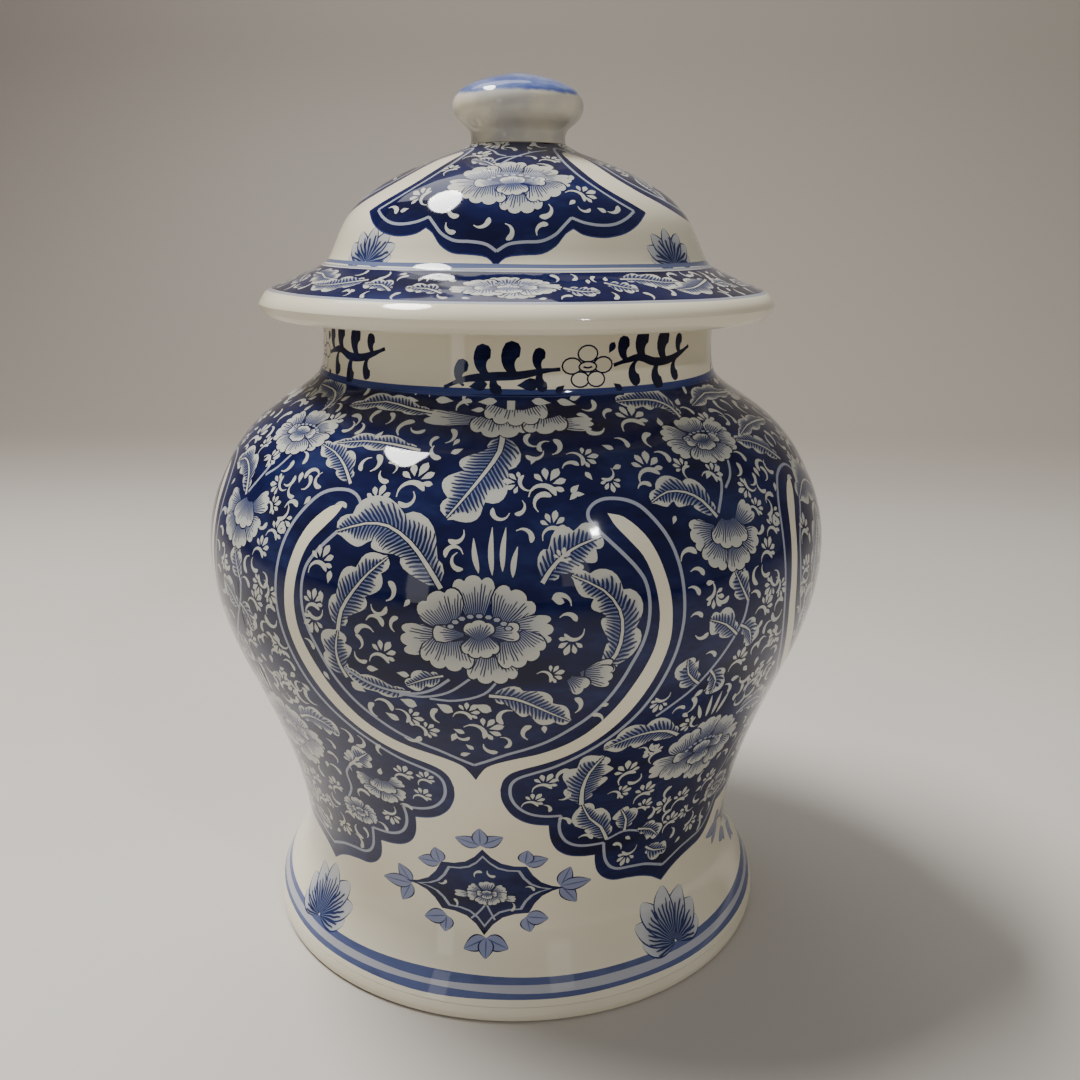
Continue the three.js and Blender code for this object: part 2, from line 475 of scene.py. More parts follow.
def petal_outline(x, y, heading, reach, half, start, scallops, grow=0.0):
    """A petal: between the arcs at start and at the rim, whose reach dips between the
    scallops and draws in at both ends.  grow widens it all round."""
    u = np.linspace(0, 1, 6 * scallops + 1)
    spread = (half + grow / reach / RAD) * (2 * u - 1)
    rim = (reach + grow) * (0.92 + 0.08 * np.abs(np.sin(np.pi * scallops * u)) ** 0.6)
    rim = rim * (1 - 0.22 * np.abs(2 * u - 1) ** 5)
    angle = (heading - spread) * RAD
    outer = np.column_stack([np.cos(angle), np.sin(angle)]) * rim[:, None]
    back = (heading + half * np.linspace(0.85, -0.85, 4)) * RAD
    inner = np.column_stack([np.cos(back), np.sin(back)]) * max(start * reach - grow, 0.02)
    return np.vstack([outer, inner[::-1]]) + [x, y]


def flower(sheet, petals, a, s, wide=1.0, high=1.0, rim=0.42, pitch=1.05, beads=True,
           colour=MIST):
    """Petals from a table, stretched wide and high, each over its own dark edge."""
    size = np.array([wide, high])
    for x, y, heading, reach, half, start, scallops in petals:
        shape = (x, y, heading, reach, half, start, scallops)
        scale = math.sqrt(abs(wide * high))
        sheet.lay(petal_outline(*shape, rim / scale) * size + [0, s], a, INK)

        def measure(points, x=x, y=y, heading=heading, reach=reach):
            own = turn((points - [0, s]) / size - [x, y], 90 - heading)
            return own / reach

        strokes = max(reach * scale / pitch, 3.0)
        sheet.lay(petal_outline(*shape) * size + [0, s], a, colour, strokes, measure)
    if beads:
        for k in range(9):
            way = (22 + 17 * k) * RAD
            middle = np.array([1.0 + 7.4 * math.cos(way), 0.2 + 4.6 * math.sin(way)])
            ring = np.linspace(0, 2 * np.pi, 7)[:-1]
            bead = middle + np.column_stack([0.85 * np.cos(ring), 0.55 * np.sin(ring)])
            sheet.lay((middle + (bead - middle) * 1.5) * size + [0, s], a, INK)
            sheet.lay(bead * size + [0, s], a, LINE)


# ----------------------------------------------------------- painting the wall
# Places are (a, s) from the middle of one panel; the panel comes four times.
PANEL_TURN = -6.4
BAND_OUTER = [
    (22, 171.6), (24.6, 170.3), (27.6, 165.3), (29.2, 160), (30.2, 154.5), (30.9, 149),
    (31.2, 143), (31.1, 136), (30.2, 129.5), (28.9, 123.5), (27.2, 117.5), (25.2, 112),
    (22.8, 107), (19.8, 102.3), (16.2, 98.3), (12, 95.3), (8.8, 93.5), (6.4, 91.5),
    (5, 88.5), (4.4, 84.5),
]
LAPPET_EDGE = [
    [(4.4, 84.5), (4.5, 81), (5.2, 77.5), (6.5, 74), (8.6, 71.2), (11, 69.7), (14, 69)],
    [(14, 69), (14.2, 66), (14.8, 62), (16.2, 58.3), (18.5, 55.8), (21.5, 54.6), (25, 54.2)],
    [(25, 54.2), (25.2, 51.5), (26, 47.5), (27.8, 44.3), (30.5, 42.3), (34, 41.7)],
    [(34, 41.7), (38, 40.6), (41.5, 38.7), (43.5, 36.9), (45, 35.5)],
]
BAND_INNER = [
    (22, 171.6), (22.9, 168.4), (24.8, 164.3), (26.9, 159.5), (28.1, 154), (28.8, 148),
    (29.05, 142), (28.6, 135), (27.5, 129.5), (25.9, 123.8), (23.8, 117.3), (21.6, 112),
    (18.9, 107), (15.5, 102.8), (11.5, 99.7), (7.8, 97.9), (4.5, 96), (2.2, 93.9),
    (1.1, 91.5), (0, 88.2),
]
BAND_LINE = [
    [(0, 94.6), (2.4, 96.6), (5.9, 99.6), (9.2, 101.9), (12.6, 104.8), (16.2, 109.3),
     (19.2, 113.8), (21.7, 119.3), (23.6, 125), (25, 130.2), (26.4, 135.5), (27.2, 141),
     (27.4, 147), (26.9, 152.5), (25.7, 156.3), (23.7, 160.5), (21.5, 164.6), (19.7, 168),
     (18.8, 170.5), (18.9, 172.6), (20.1, 174.6), (22, 175.6), (25, 175.1), (27.4, 173.3),
     (29.3, 170), (31.2, 165), (32.3, 160), (33, 154), (33.3, 147), (33.2, 140),
     (32.4, 132), (31.2, 125.5), (29.5, 118.5), (27.4, 112.3), (24.6, 106.6), (21.4, 101.5),
     (17.6, 97.1), (13.8, 93.6), (10.2, 91.3), (7.7, 89.4), (6.5, 87), (6.2, 84),
     (6.4, 81), (7.3, 77.8), (8.9, 75.1), (11, 73.4), (13.6, 72.6), (16.4, 72.5)],
    [(16.4, 72.5), (16.2, 68.5), (16.7, 64.6), (18, 61.3), (20, 59.3), (22.6, 58.4),
     (26.8, 58.2)],
    [(26.8, 58.2), (27.2, 54.5), (27.9, 50.7), (29.3, 47.7), (31.4, 46), (35, 45.4)],
    [(35, 45.4), (39, 44.4), (42, 42.8), (45, 41.0)],
]
NECK_LINE = 211.8


def mirrored(places):
    return [(-a, s) for a, s in places]


def smooth_places(sheet, runs, steps=3):
    """Corner to corner runs of places, each smoothed in millimetres, end to end."""
    out = []
    for run in runs:
        line = smooth_line(sheet.flat(run, 0.0), steps)
        out += list(line if not out else line[1:])
    return np.array(out)


def paint_panel_frame(sheet):
    """Navy above the lappets' edge, the pale horseshoe band, and the fine lines beside it."""
    outer = smooth_places(sheet, [BAND_OUTER])
    lappet = smooth_places(sheet, LAPPET_EDGE)
    inner = smooth_places(sheet, [BAND_INNER])
    flip = [-1, 1]
    top = sheet.flat([(45, NECK_LINE), (-45, NECK_LINE)], 0.0)
    ground = np.vstack([lappet, top, (lappet * flip)[::-1]])
    for colour, grow in ((COBALT, 0.45), (NAVY, 0.0)):
        edge = ground.copy()
        edge[:len(lappet), 1] -= grow
        edge[len(lappet) + 2:, 1] -= grow
        sheet.lay(edge, 0.0, colour)
    foot = np.array([outer[-1] + [-0.3, -1.0], outer[-1] * flip + [0.3, -1.0]])
    band = np.vstack([foot[:1], outer[::-1], inner[1:], (inner * flip)[::-1][1:],
                      (outer * flip)[1:], foot[1:]])
    sheet.lay(band, 0.0, CREAM)
    for side in (1, -1):
        for run in BAND_LINE:
            places = run if side > 0 else mirrored(run)
            stem(sheet, places, 0.95, LINE)


def paint_panel(sheet):
    """The field inside the horseshoe band: one peony among leaves and sprigs."""
    leaf(sheet, [(-3.6, 152), (-6, 158), (-9, 163.5), (-13, 167.2), (-17, 167.2), (-22, 164)],
         8.0, 3, 1.3)
    leaf(sheet, [(-20.4, 137), (-19.6, 143), (-17.5, 149), (-15, 154.5), (-12.2, 159)], 6.0, 3, 1.2)
    leaf(sheet, [(-20, 122.5), (-21, 126.5), (-21.2, 131.5), (-20.4, 137)], 5.6, 2, 1.1)
    leaf(sheet, [(-9, 120.9), (-13, 120.9), (-17, 122.6), (-20.2, 125.5)], 3.0, 2, 0.9)
    leaf(sheet, [(11.2, 154), (12.5, 157.5), (14.5, 161), (17, 163.5), (20.6, 165.6)], 6.6, 3, 1.2)
    leaf(sheet, [(20, 128.2), (22.3, 133.5), (23.1, 140), (22.6, 146), (20.2, 151.5),
                 (15.6, 155.8)], 6.4, 4, 1.2)
    leaf(sheet, [(3.3, 121.8), (7, 121), (10, 118.6), (13, 115.4), (16, 112.4)], 5.4, 3, 1.0)
    stem(sheet, [(-20.2, 125.5), (-15, 121.6), (-9, 120.6), (-5.5, 122.6), (-2.6, 126.5)], 0.8)
    stem(sheet, [(0.5, 127), (-3, 122.2), (-7, 120.0), (-11, 120.0)], 0.7)
    stem(sheet, [(4.8, 127), (2.5, 122.3), (-2, 119.6), (-6, 119.6)], 0.7)
    leaf(sheet, [(-3.5, 127.5), (-6.3, 126.0), (-9.6, 123.2)], 3.2, 2, 0.6, 1.0)
    for a, s, way in ((-17, 118.6, 150), (-11, 118.2, 340), (-5, 118.0, 330), (1, 118.6, 335)):
        drop(sheet, a, s, 5.0, way, MIST, 0.5)
    for a, s, tip_a, tip_s in ((1.9, 156.5, 0.9, 165.5), (3.9, 156, 3.7, 168.5),
                               (5.4, 157, 5.8, 168.5), (6.9, 155.5, 7.6, 163.5)):
        stem(sheet, [(a, s), ((a + tip_a) / 2 - 0.2, (s + tip_s) / 2), (tip_a, tip_s)], 1.5, MIST,
             blade)
    flower(sheet, FOLDED, 18.2, 125.8, 1.0, 1.0, beads=False)
    flower(sheet, PEONY, 1.5, 140, 1.10, 1.10)
    strew(sheet, sprig, [
        (-24, 155, 7, 70), (-13, 132, 6.5, 60), (15.5, 138.5, 6, 250), (12.5, 128.5, 5, 20),
        (-7.6, 107.6, 5.5, 10), (2.2, 109.5, 7.5, 20), (14.2, 160, 4.2, 80),
    ])
    strew(sheet, comma, [
        (15, 145, 4.6, 100, 130), (-16.5, 112.5, 5.0, 200, 140), (-5.5, 113.6, 5.0, 200, 140),
        (2.8, 101.6, 5.0, 20, -120), (17, 118, 5.2, 160, -130), (9, 108.6, 5.4, 190, 140),
        (-26.2, 136, 3.6, 90, 100), (-26.4, 131, 4.0, 80, 110), (-11.3, 150, 5.2, 160, -150),
        (-10.8, 141.5, 4.2, 180, 150), (-10.2, 103.2, 5.2, 80, -130), (20.6, 113, 4.4, 200, -120),
    ])
    strew(sheet, drop, [
        (-14.2, 112.3, 4.4, 330), (-0.4, 99.6, 3.2, 200), (20.5, 117.0, 2.6, 10),
        (-23.2, 144, 3.4, 100), (-23.8, 120, 3.0, 120),
    ])


# A bud folded on its side: petals from a table as for the peony.
FOLDED = [
    (-7.0, 1.0, 10, 14.5, 17, 0.35, 3), (-6.0, 3.0, 350, 13.0, 20, 0.40, 3),
    (-6.4, 2.6, 318, 7.8, 30, 0.25, 2),
]
# A peony seen from below, hanging from its stem.
HANGING = [
    (2.0, 1.5, 177, 27.0, 8.5, 0.35, 2), (2.0, 1.5, 357, 21.0, 10, 0.45, 3),
    (-3.0, 12.0, 270, 16.5, 40, 0.60, 4), (8.5, 12.0, 274, 15.0, 32, 0.60, 3),
    (1.2, 19.0, 270, 18.6, 37, 0.68, 5),
]
# A bell flower, nodding to one side.
BELL = [
    (2.0, 2.0, 30, 12.5, 24, 0.3, 3), (1.0, 1.0, 336, 12.5, 28, 0.3, 3),
    (-1.0, 3.0, 184, 13.5, 30, 0.3, 3), (-1.0, 2.0, 232, 13.0, 32, 0.35, 3),
    (0.0, 1.0, 284, 12.5, 32, 0.35, 3), (1.6, 9.0, 264, 13.0, 46, 0.30, 4),
]
ROUND = [
    (0.0, 0.0, 90, 13.5, 34, 0.35, 3), (1.0, 0.0, 30, 14.5, 26, 0.40, 3),
    (-1.0, 0.0, 150, 14.5, 26, 0.40, 3), (0.5, 0.5, 345, 14.5, 26, 0.40, 3),
    (-0.5, 0.5, 195, 14.5, 26, 0.40, 3), (0.0, 1.5, 245, 13.0, 30, 0.40, 3),
    (0.5, 1.5, 295, 13.0, 30, 0.40, 3), (0.0, 0.6, 180, 7.4, 28, 0.1, 2),
    (0.0, 0.6, 0, 7.4, 28, 0.1, 2), (0.0, 1.5, 270, 6.4, 50, 0.15, 3),
    (0.0, -1.4, 90, 5.2, 56, 0.0, 3),
]


def paint_shoulder(sheet):
    """Between the neck and the panels: hanging peonies, round peonies and bell flowers."""
    leaf(sheet, [(4.6, 197.5), (4.2, 191), (2, 184), (-1, 176.5), (-3.6, 170.6)], 8.4, 3, 1.5)
    flower(sheet, HANGING, 6.2, 200.4, 1.0, 1.0, beads=False)
    stem(sheet, [(6, 207), (6, 210.2)], 2.2, MIST)
    for a, s, way in ((-17, 208.9, 180), (-8, 209.6, 178), (-2, 209.6, 4), (15.5, 209.4, 172),
                      (21.5, 208.6, 164)):
        drop(sheet, a, s, 5.4, way, MIST, 0.36)
    leaf(sheet, [(-12, 205), (-18, 206), (-26, 207.6), (-36, 204)], 3.4, 3, 0.8)
    leaf(sheet, [(-22, 177.5), (-25, 182.6), (-29, 186.4), (-33.4, 188.2)], 4.4, 3, 0.9)
    leaf(sheet, [(-11, 190.2), (-17, 191.6), (-24, 191.6), (-30, 189.4)], 3.2, 3, 0.9)
    leaf(sheet, [(46.7, 200), (46.6, 204.6), (43.6, 208), (38.5, 209), (32, 209)], 4.4, 3, 1.0)
    leaf(sheet, [(42, 167), (39.8, 172.2), (37, 175.2), (33.4, 176), (30, 173.6)], 5.0, 3, 1.0)
    stem(sheet, [(46.5, 183), (45.5, 176), (42.5, 168)], 0.9)
    stem(sheet, [(50.5, 183.5), (48.6, 178), (46, 174.5)], 0.8)
    stem(sheet, [(43, 160), (45.2, 152.5), (46.3, 145), (45.6, 137), (43.5, 131), (40.5, 124),
                 (37, 117.5), (33.5, 113), (31, 110)], 0.9)
    leaf(sheet, [(46.2, 142), (44.6, 147), (43.4, 151.6)], 4.2, 2, 0.8)
    leaf(sheet, [(44.4, 132.4), (41.6, 136.6), (38.2, 139.2)], 4.6, 2, 0.8)
    leaf(sheet, [(45.0, 135), (47.4, 132.4), (48.4, 127.6)], 4.2, 2, 0.8)
    leaf(sheet, [(38.0, 119), (35.4, 123.4), (34.8, 128.4)], 4.6, 2, 0.8)
    leaf(sheet, [(40, 122.6), (41.8, 118.4), (41.6, 113.6)], 4.4, 2, 0.8)
    flower(sheet, ROUND, 47.4, 190.4, 0.92, 0.72)
    flower(sheet, BELL, 43.4, 161, 0.92, 0.86, beads=False)
    strew(sheet, sprig, [
        (-10, 180, 8.5, 75), (12.5, 180, 8, 60), (19.5, 188.5, 6, 10), (23.5, 181, 5, 280),
        (13, 168.5, 6, 80), (33.5, 201.5, 8.5, 70), (31.2, 183.4, 8, 80), (51.9, 154, 6, 60),
        (50.7, 138, 6, 40), (-43.8, 123, 6, 70), (-16, 173.5, 6.5, 80), (38.6, 182.4, 5, 120),
        (-36.4, 196.5, 6.5, 60), (51.8, 166.8, 5, 30),
    ])
    strew(sheet, comma, [
        (-26, 201.4, 5.0, 200, 140), (-27, 196, 4.4, 20, 150), (-17, 198.4, 6.2, 170, 150),
        (-9, 193.6, 4.0, 190, 140), (-8, 189.6, 5.2, 10, -130), (-18.5, 184.6, 5.4, 160, -140),
        (-16.2, 180.4, 4.6, 20, -120), (15, 192.4, 5.6, 150, -140), (24, 197.8, 5.4, 300, 130),
        (28.6, 193.4, 4.6, 60, 130), (34.2, 193.4, 5.4, 170, 150), (35.6, 187.2, 5.0, 60, 140),
        (29.4, 178.6, 4.2, 120, 130), (54.5, 183, 4.6, 60, 130), (51.5, 178.6, 4.8, 120, -130),
        (36, 153.5, 4.6, 100, 120), (51, 160.4, 4.4, 80, -120), (35.2, 148.6, 4.4, 90, 110),
        (35.6, 141.4, 4.0, 110, 120), (36.8, 134.8, 4.4, 60, -120), (39.4, 128.4, 4.0, 100, 110),
        (-41.8, 143.2, 4.4, 90, 120), (-40.6, 132.8, 4.4, 80, -120), (-44.2, 113.8, 4.6, 60, 130),
        (28.2, 204.8, 4.4, 160, 130), (22.6, 203.4, 4.6, 190, -130), (-22.6, 171.2, 4, 120, 120),
    ])
    strew(sheet, drop, [
        (-21, 196, 3.4, 250), (24, 192.6, 3.4, 330), (24.4, 184.2, 3.0, 20), (33, 166.9, 2.6, 60),
        (-33.5, 175, 3.4, 100), (-30.4, 169.4, 3, 60), (20.4, 181.2, 3.0, 120),
        (-38.4, 118.2, 3.2, 80),
    ])


def paint_lappet(sheet):
    """The hanging lobes between two panels, with a wide peony and a fringe of leaves."""
    for a, s, tip_a, tip_s in ((41.4, 104, 39.8, 110), (42.8, 104, 42.3, 112.5),
                               (44.2, 104, 44.5, 113), (45.4, 104, 46.6, 112)):
        stem(sheet, [(a, s), ((a + tip_a) / 2, (s + tip_s) / 2), (tip_a, tip_s)], 1.4, MIST, blade)
    leaf(sheet, [(37.4, 99.4), (34.5, 102.4), (31, 103.6), (27, 102.6), (22.6, 99.6)], 5.6, 3, 1.1)
    leaf(sheet, [(20.3, 76.4), (20.0, 83), (20.8, 90), (23.0, 96.4)], 7.4, 3, 1.4)
    leaf(sheet, [(27.4, 59.4), (25.4, 65.4), (22.6, 69.8), (20.5, 76.4)], 5.4, 2, 1.1)
    leaf(sheet, [(31.4, 61.4), (31.2, 66.4), (29.4, 71.4)], 4.2, 2, 0.9)
    stem(sheet, [(27.4, 59.4), (31.4, 61.4), (36, 59.4), (40.4, 57.2)], 0.8)
    leaf(sheet, [(35, 60.6), (38.6, 58.8), (41.4, 54.8)], 3.8, 2, 0.8)
    leaf(sheet, [(38.4, 51.6), (41.2, 48.8), (45.4, 47.4)], 3.6, 2, 0.8)
    leaf(sheet, [(53.2, 98.6), (56.4, 101.0), (60.2, 100.6), (63.6, 97.6)], 5.0, 3, 1.0)
    leaf(sheet, [(63.0, 84.6), (65.6, 88.4), (68.8, 92.4)], 4.6, 2, 1.0)
    stem(sheet, [(63.0, 84.6), (60.8, 80.0), (60.4, 73.4), (58.0, 67.6)], 0.8)
    flower(sheet, PEONY, 45.2, 88.4, 0.98, 0.98)
    flower(sheet, BELL, 69.6, 78.6, 0.62, 0.56, beads=False)
    flower(sheet, ROUND, 60.6, 63.4, 0.46, 0.42, beads=False)
    strew(sheet, sprig, [
        (28.5, 87.5, 7, 100), (28.0, 79.0, 5.2, 20), (34.0, 76.4, 6.4, 80), (34.8, 70.0, 5.2, 60),
        (12.6, 86.6, 6.4, 70), (10.6, 79.2, 5.4, 60), (33.4, 50.8, 5.8, 250),
        (64.2, 86.0, 6.4, 90), (75.6, 86.6, 5.8, 70), (78.6, 78.6, 5.2, 60),
        (69.8, 67.0, 5.8, 270), (54.6, 70.0, 6.0, 90), (52.6, 53.6, 6.0, 300),
        (45.6, 67.6, 6.2, 80), (49.4, 60.4, 5.0, 200),
    ])
    strew(sheet, comma, [
        (15.6, 90.4, 5.2, 160, 150), (13.6, 76.4, 3.6, 60, 120), (16.8, 80.4, 3.8, 100, -120),
        (17.4, 70.4, 4.4, 80, 130), (22.4, 62.2, 4.6, 100, 130), (37.8, 66.2, 4.8, 20, 130),
        (42.4, 62.4, 4.6, 170, 140), (30.6, 55.6, 4.2, 200, -120), (46.4, 53.2, 4.4, 30, 130),
        (56.2, 59.6, 4.4, 110, 130), (60.6, 54.4, 4.0, 160, -120), (66.8, 60.6, 4.0, 70, 120),
        (74.4, 72.6, 4.0, 100, 120), (40.4, 73.2, 4.8, 190, 140), (50.4, 74.0, 4.6, 340, -130),
        (57.4, 79.6, 4.8, 80, 130), (72.0, 95.6, 4.4, 200, 120), (59.8, 91.6, 4.0, 60, 120),
    ])


def diamond(places, swell):
    """A four-pointed figure: each side runs in by a step and bulges by swell between."""
    out = []
    for (x0, y0), (x1, y1) in zip(places, places[1:] + places[:1]):
        chord = np.array([x1 - x0, y1 - y0])
        side = np.array([-chord[1], chord[0]]) * swell
        for t in np.linspace(0, 1, 5)[:-1]:
            out.append(np.array([x0, y0]) + chord * t - side * math.sin(math.pi * t))
    return np.array(out)


LOZENGE = [(0, 58.5), (-9.7, 51.5), (-19.5, 40.8), (-10.3, 33.5), (0, 26.5), (10.3, 34.0),
           (18.5, 42.6), (9.7, 51.8)]


def paint_lozenge(sheet):
    """The small lozenge on the white foot, with three leaves at each point."""
    middle = np.array([0.0, 42.0])
    corner = sheet.flat(LOZENGE, 0.0)
    frame_line = diamond([tuple(p) for p in corner], -0.16)
    for tips in (((-0.3, 67.2), (-5.7, 62.6), (4.6, 64.0)), ((-26, 39.2), (-21, 46.6), (-20.8, 33)),
                 ((24.8, 44.0), (19.6, 50.4), (21.5, 36.6)), ((0.6, 19.6), (-4.4, 22), (5.6, 22.8)),
                 ((-10.8, 57.0), (-15.4, 51.0)), ((9.8, 58.4), (14.4, 54.6)),
                 ((-14.6, 29.6), (-9.2, 26.2)), ((14.8, 31.8), (10.6, 27.8))):
        tip = sheet.flat(tips, 0.0)
        foot = tip.mean(axis=0) + (middle - tip.mean(axis=0)) * (0.20 if len(tips) > 2 else 0.24)
        for end in list(tip[1:]) + [tip[0]]:
            spine = [tuple(foot), tuple((foot + end) / 2), tuple(end)]
            sheet.lay(ribbon(spine, 5.2, blade, 4), 0.0, NAVY)
            sheet.lay(ribbon(spine, 4.3, blade, 4), 0.0, LOZENGE_LEAF)
            sheet.lay(ribbon(spine, 0.5, blade, 4), 0.0, BANDING)
    for colour, keep in ((NAVY, 1.0), (LINE, 0.845), (NAVY, 0.79)):
        sheet.lay(middle + (frame_line - middle) * keep, 0.0, colour)
    stem(sheet, [(0.4, 37), (-1.6, 33.5), (-3.2, 31.5)], 0.6)
    stem(sheet, [(0.4, 37), (1.6, 33.5), (2.4, 31.5)], 0.6)
    flower(sheet, HANGING[:2], 0.4, 39.0, 0.40, 0.40, 0.25, 0.9, False)
    flower(sheet, ROUND, 0.6, 40.6, 0.42, 0.36, 0.25, 0.9, False)
    strew(sheet, comma, [
        (-1.5, 48.4, 3.2, 150, 140), (1.5, 48.4, 3.2, 30, -140), (10.6, 43.2, 3, 90, 120),
        (-9.8, 43.2, 3, 90, -120), (6.6, 36.2, 3, 20, 120), (-6.8, 36.2, 3, 160, -120),
    ])


def budded(way):
    """The half width of a lotus petal: fullest past the middle, with a pointed tip."""
    return np.maximum(np.sin(np.pi * way**1.2), 0.05) ** 0.65


def lotus(sheet, a, s, size, spread=1.0, colour=LOTUS_PALE):
    """A lotus standing on its base line: seven pointed petals, the middle one in front."""
    for heading, reach in ((168, 0.74), (12, 0.74), (146, 0.90), (34, 0.90), (120, 1.0), (60, 1.0),
                           (90, 1.04)):
        spine = turn(np.array([[0.02, 0], [0.35, 0.02], [0.7, 0.02], [1.0, 0.0]]), heading)
        spine = spine * size * reach * [spread, 1] + [0, s]

        def measure(points, heading=heading, reach=reach):
            own = turn((points - [0, s]) / [spread, 1], 90 - heading) / (size * reach)
            return own + [0, 0.06]

        sheet.lay(ribbon(spine, 0.42 * size + 1.2, budded, 4), a, LOTUS_EDGE)
        sheet.lay(ribbon(spine, 0.42 * size, budded, 4), a, colour, size * reach / 2.4, measure)


def wavy(start, end, s, width, step=3.0, wander=0.28):
    """A band laid with a brush on the wheel: its edges wander by two slow waves that come
    round again every quarter turn."""
    a = np.arange(start, end + 0.01, step)
    low = wander * np.sin(a * 4 * RAD) + 0.5 * wander * np.sin(a * 12 * RAD + 1)
    high = wander * np.sin(a * 4 * RAD + 2) + 0.5 * wander * np.sin(a * 8 * RAD + 3)
    lower = np.column_stack([a, s - width / 2 + low])
    upper = np.column_stack([a, s + width / 2 + high])
    return np.vstack([lower, upper[::-1]])


def lay_band(sheet, s, width, colour, wander=0.28):
    places = wavy(-sheet.reach, sheet.reach, s, width, wander=wander)
    sheet.shapes.append((places, 0.0, colour, PLAIN, None))


NECK_BAND_S = 212.4
NECK_BAND_WIDTH = 2.2


def paint_wall(sheet):
    """One panel of the wall, from the stripes at the foot to the band under the collar,
    with the lozenge on its white foot."""
    lay_band(sheet, 11.0, 4.2, FOOT_STRIPE)
    lay_band(sheet, 13.3, 2.4, BANDING)
    lay_band(sheet, 8.8, 1.9, BANDING)
    lotus(sheet, 45.3, 14.6, 17.5)
    paint_panel_frame(sheet)
    ground = next(k for k, shape in enumerate(sheet.shapes) if shape[2] is NAVY)
    paint_lappet(sheet)
    paint_shoulder(sheet)
    paint_panel(sheet)
    sheet.fill_gaps(ground, 1.9, 2.9, 4.4, 11)
    paint_lozenge(sheet)
    lay_band(sheet, NECK_BAND_S, NECK_BAND_WIDTH, COBALT, 0.12)


# --------------------------------------------------------- painting the collar
COLLAR_TURN = -1.5


def paint_collar(sheet):
    """Dark scrolls and an outlined flower on the white collar, four times round."""
    lay_band(sheet, NECK_BAND_S, NECK_BAND_WIDTH, COBALT, 0.12)
    for places in ([(-16, 213.6), (-11, 216.0), (-4, 217.0), (3, 217.4), (9, 218.6), (13.4, 219)],
                   [(27.8, 219.6), (32, 220.8), (36, 221.4), (41, 219.8), (47, 220.0), (52, 221.6),
                    (56, 223.2)]):
        stem(sheet, places, 2.5, INK, lambda t: np.maximum(np.sin(np.pi * t), 0.25) ** 0.6)
    for a, s, size, way, bend in ((-11.4, 217.6, 6.4, 190, 140), (-5.4, 220.8, 8.0, 200, 150),
                                  (1.8, 221.2, 8.6, 196, 155), (8.4, 221.2, 6.0, 200, 140),
                                  (-2.6, 215.0, 5.4, 350, -140), (8.8, 216.2, 5.4, 345, -140),
                                  (31.4, 223.6, 6.6, 205, 140), (37.4, 224.2, 8.0, 198, 150),
                                  (45.0, 223.6, 8.2, 194, 155), (51.4, 223.8, 5.6, 204, 140),
                                  (34.4, 217.4, 6.2, 350, -145), (42.2, 216.2, 6.8, 345, -145),
                                  (49.2, 217.2, 5.6, 345, -140)):
        comma(sheet, a, s, size, way, bend, INK, 0.74)
    for a, s, size, way, fat in ((-9.6, 214.0, 5.4, 10, 0.5), (2.4, 214.6, 6.4, 4, 0.46),
                                 (27.6, 214.6, 3.4, 320, 0.5), (14.4, 214.6, 3.4, 220, 0.5),
                                 (26.4, 223.0, 3.6, 60, 0.5)):
        drop(sheet, a, s, size, way, INK, fat)
    ring = np.linspace(0, 2 * np.pi, 15)[:-1]
    for a, s, wide, high in ((20.6, 223.1, 3.2, 2.6), (16.4, 219.8, 3.1, 2.5), (24.8, 219.9, 3.1, 2.5),
                             (18.5, 216.0, 2.9, 2.4), (22.8, 216.0, 2.9, 2.4),
                             (20.6, 219.5, 2.9, 1.7)):
        petal = np.column_stack([np.cos(ring), np.sin(ring)])
        sheet.lay(petal * [wide, high] + [0, s], a, INK)
        sheet.lay(petal * [wide - 0.5, high - 0.5] + [0, s], a, CREAM)
    stem(sheet, [(19.4, 219.5), (20.6, 219.2), (21.8, 219.5)], 0.5, INK)


# ------------------------------------------------------------ painting the lid
# Places are (a, s): s runs from the brim's widest edge up to the knob.
LID_TURN = -4.5
CARTOUCHE_EDGE = [
    [(0, 26.2), (2.4, 29), (7, 29.8), (12, 30.2), (16, 32.5), (19, 36), (21.4, 37.5)],
    [(21.4, 37.5), (24, 35.8), (28, 35), (32, 35), (38, 36.3), (43.6, 39), (49.4, 43.0)],
    [(49.4, 43.0), (44.6, 46.7), (40.8, 50), (37.4, 54.5), (35.8, 60), (35.6, 66), (36.6, 72),
     (39.0, 77.0), (42.5, 79.4), (45, 79.8)],
]
SIDE_EDGE = [
    [(0, 36.4), (3.6, 39.4), (9, 40.4), (15, 41.4), (22, 43.8), (29, 47.2), (35.6, 51.6),
     (39.2, 57), (40.2, 62), (39.0, 68), (37.2, 72.8), (38.6, 77.0), (42.0, 79.4), (45, 79.8)],
]
CARTOUCHE_LINE = [
    [(0, 30.6), (3, 32.6), (7, 33.3), (12, 33.6), (16, 35.5), (18.6, 38), (21.4, 40.7)],
    [(21.4, 40.7), (25, 39.2), (30, 38.4), (35, 38.8), (40, 40.7), (44.4, 43.2)],
    [(44.4, 43.2), (39.6, 46.9), (35.8, 51), (32.8, 56), (31.2, 61), (30.8, 66), (31.6, 71),
     (34.2, 76.4), (38.6, 81.2), (44, 83.2), (49.5, 81.2), (54.4, 77.0), (57.2, 72.0),
     (55.2, 66.0), (54.4, 61.0), (56.0, 56.4), (60.2, 52.0), (66.6, 48.6), (73.6, 45.8),
     (80.6, 43.8), (86.0, 42.6), (90, 40.2)],
]


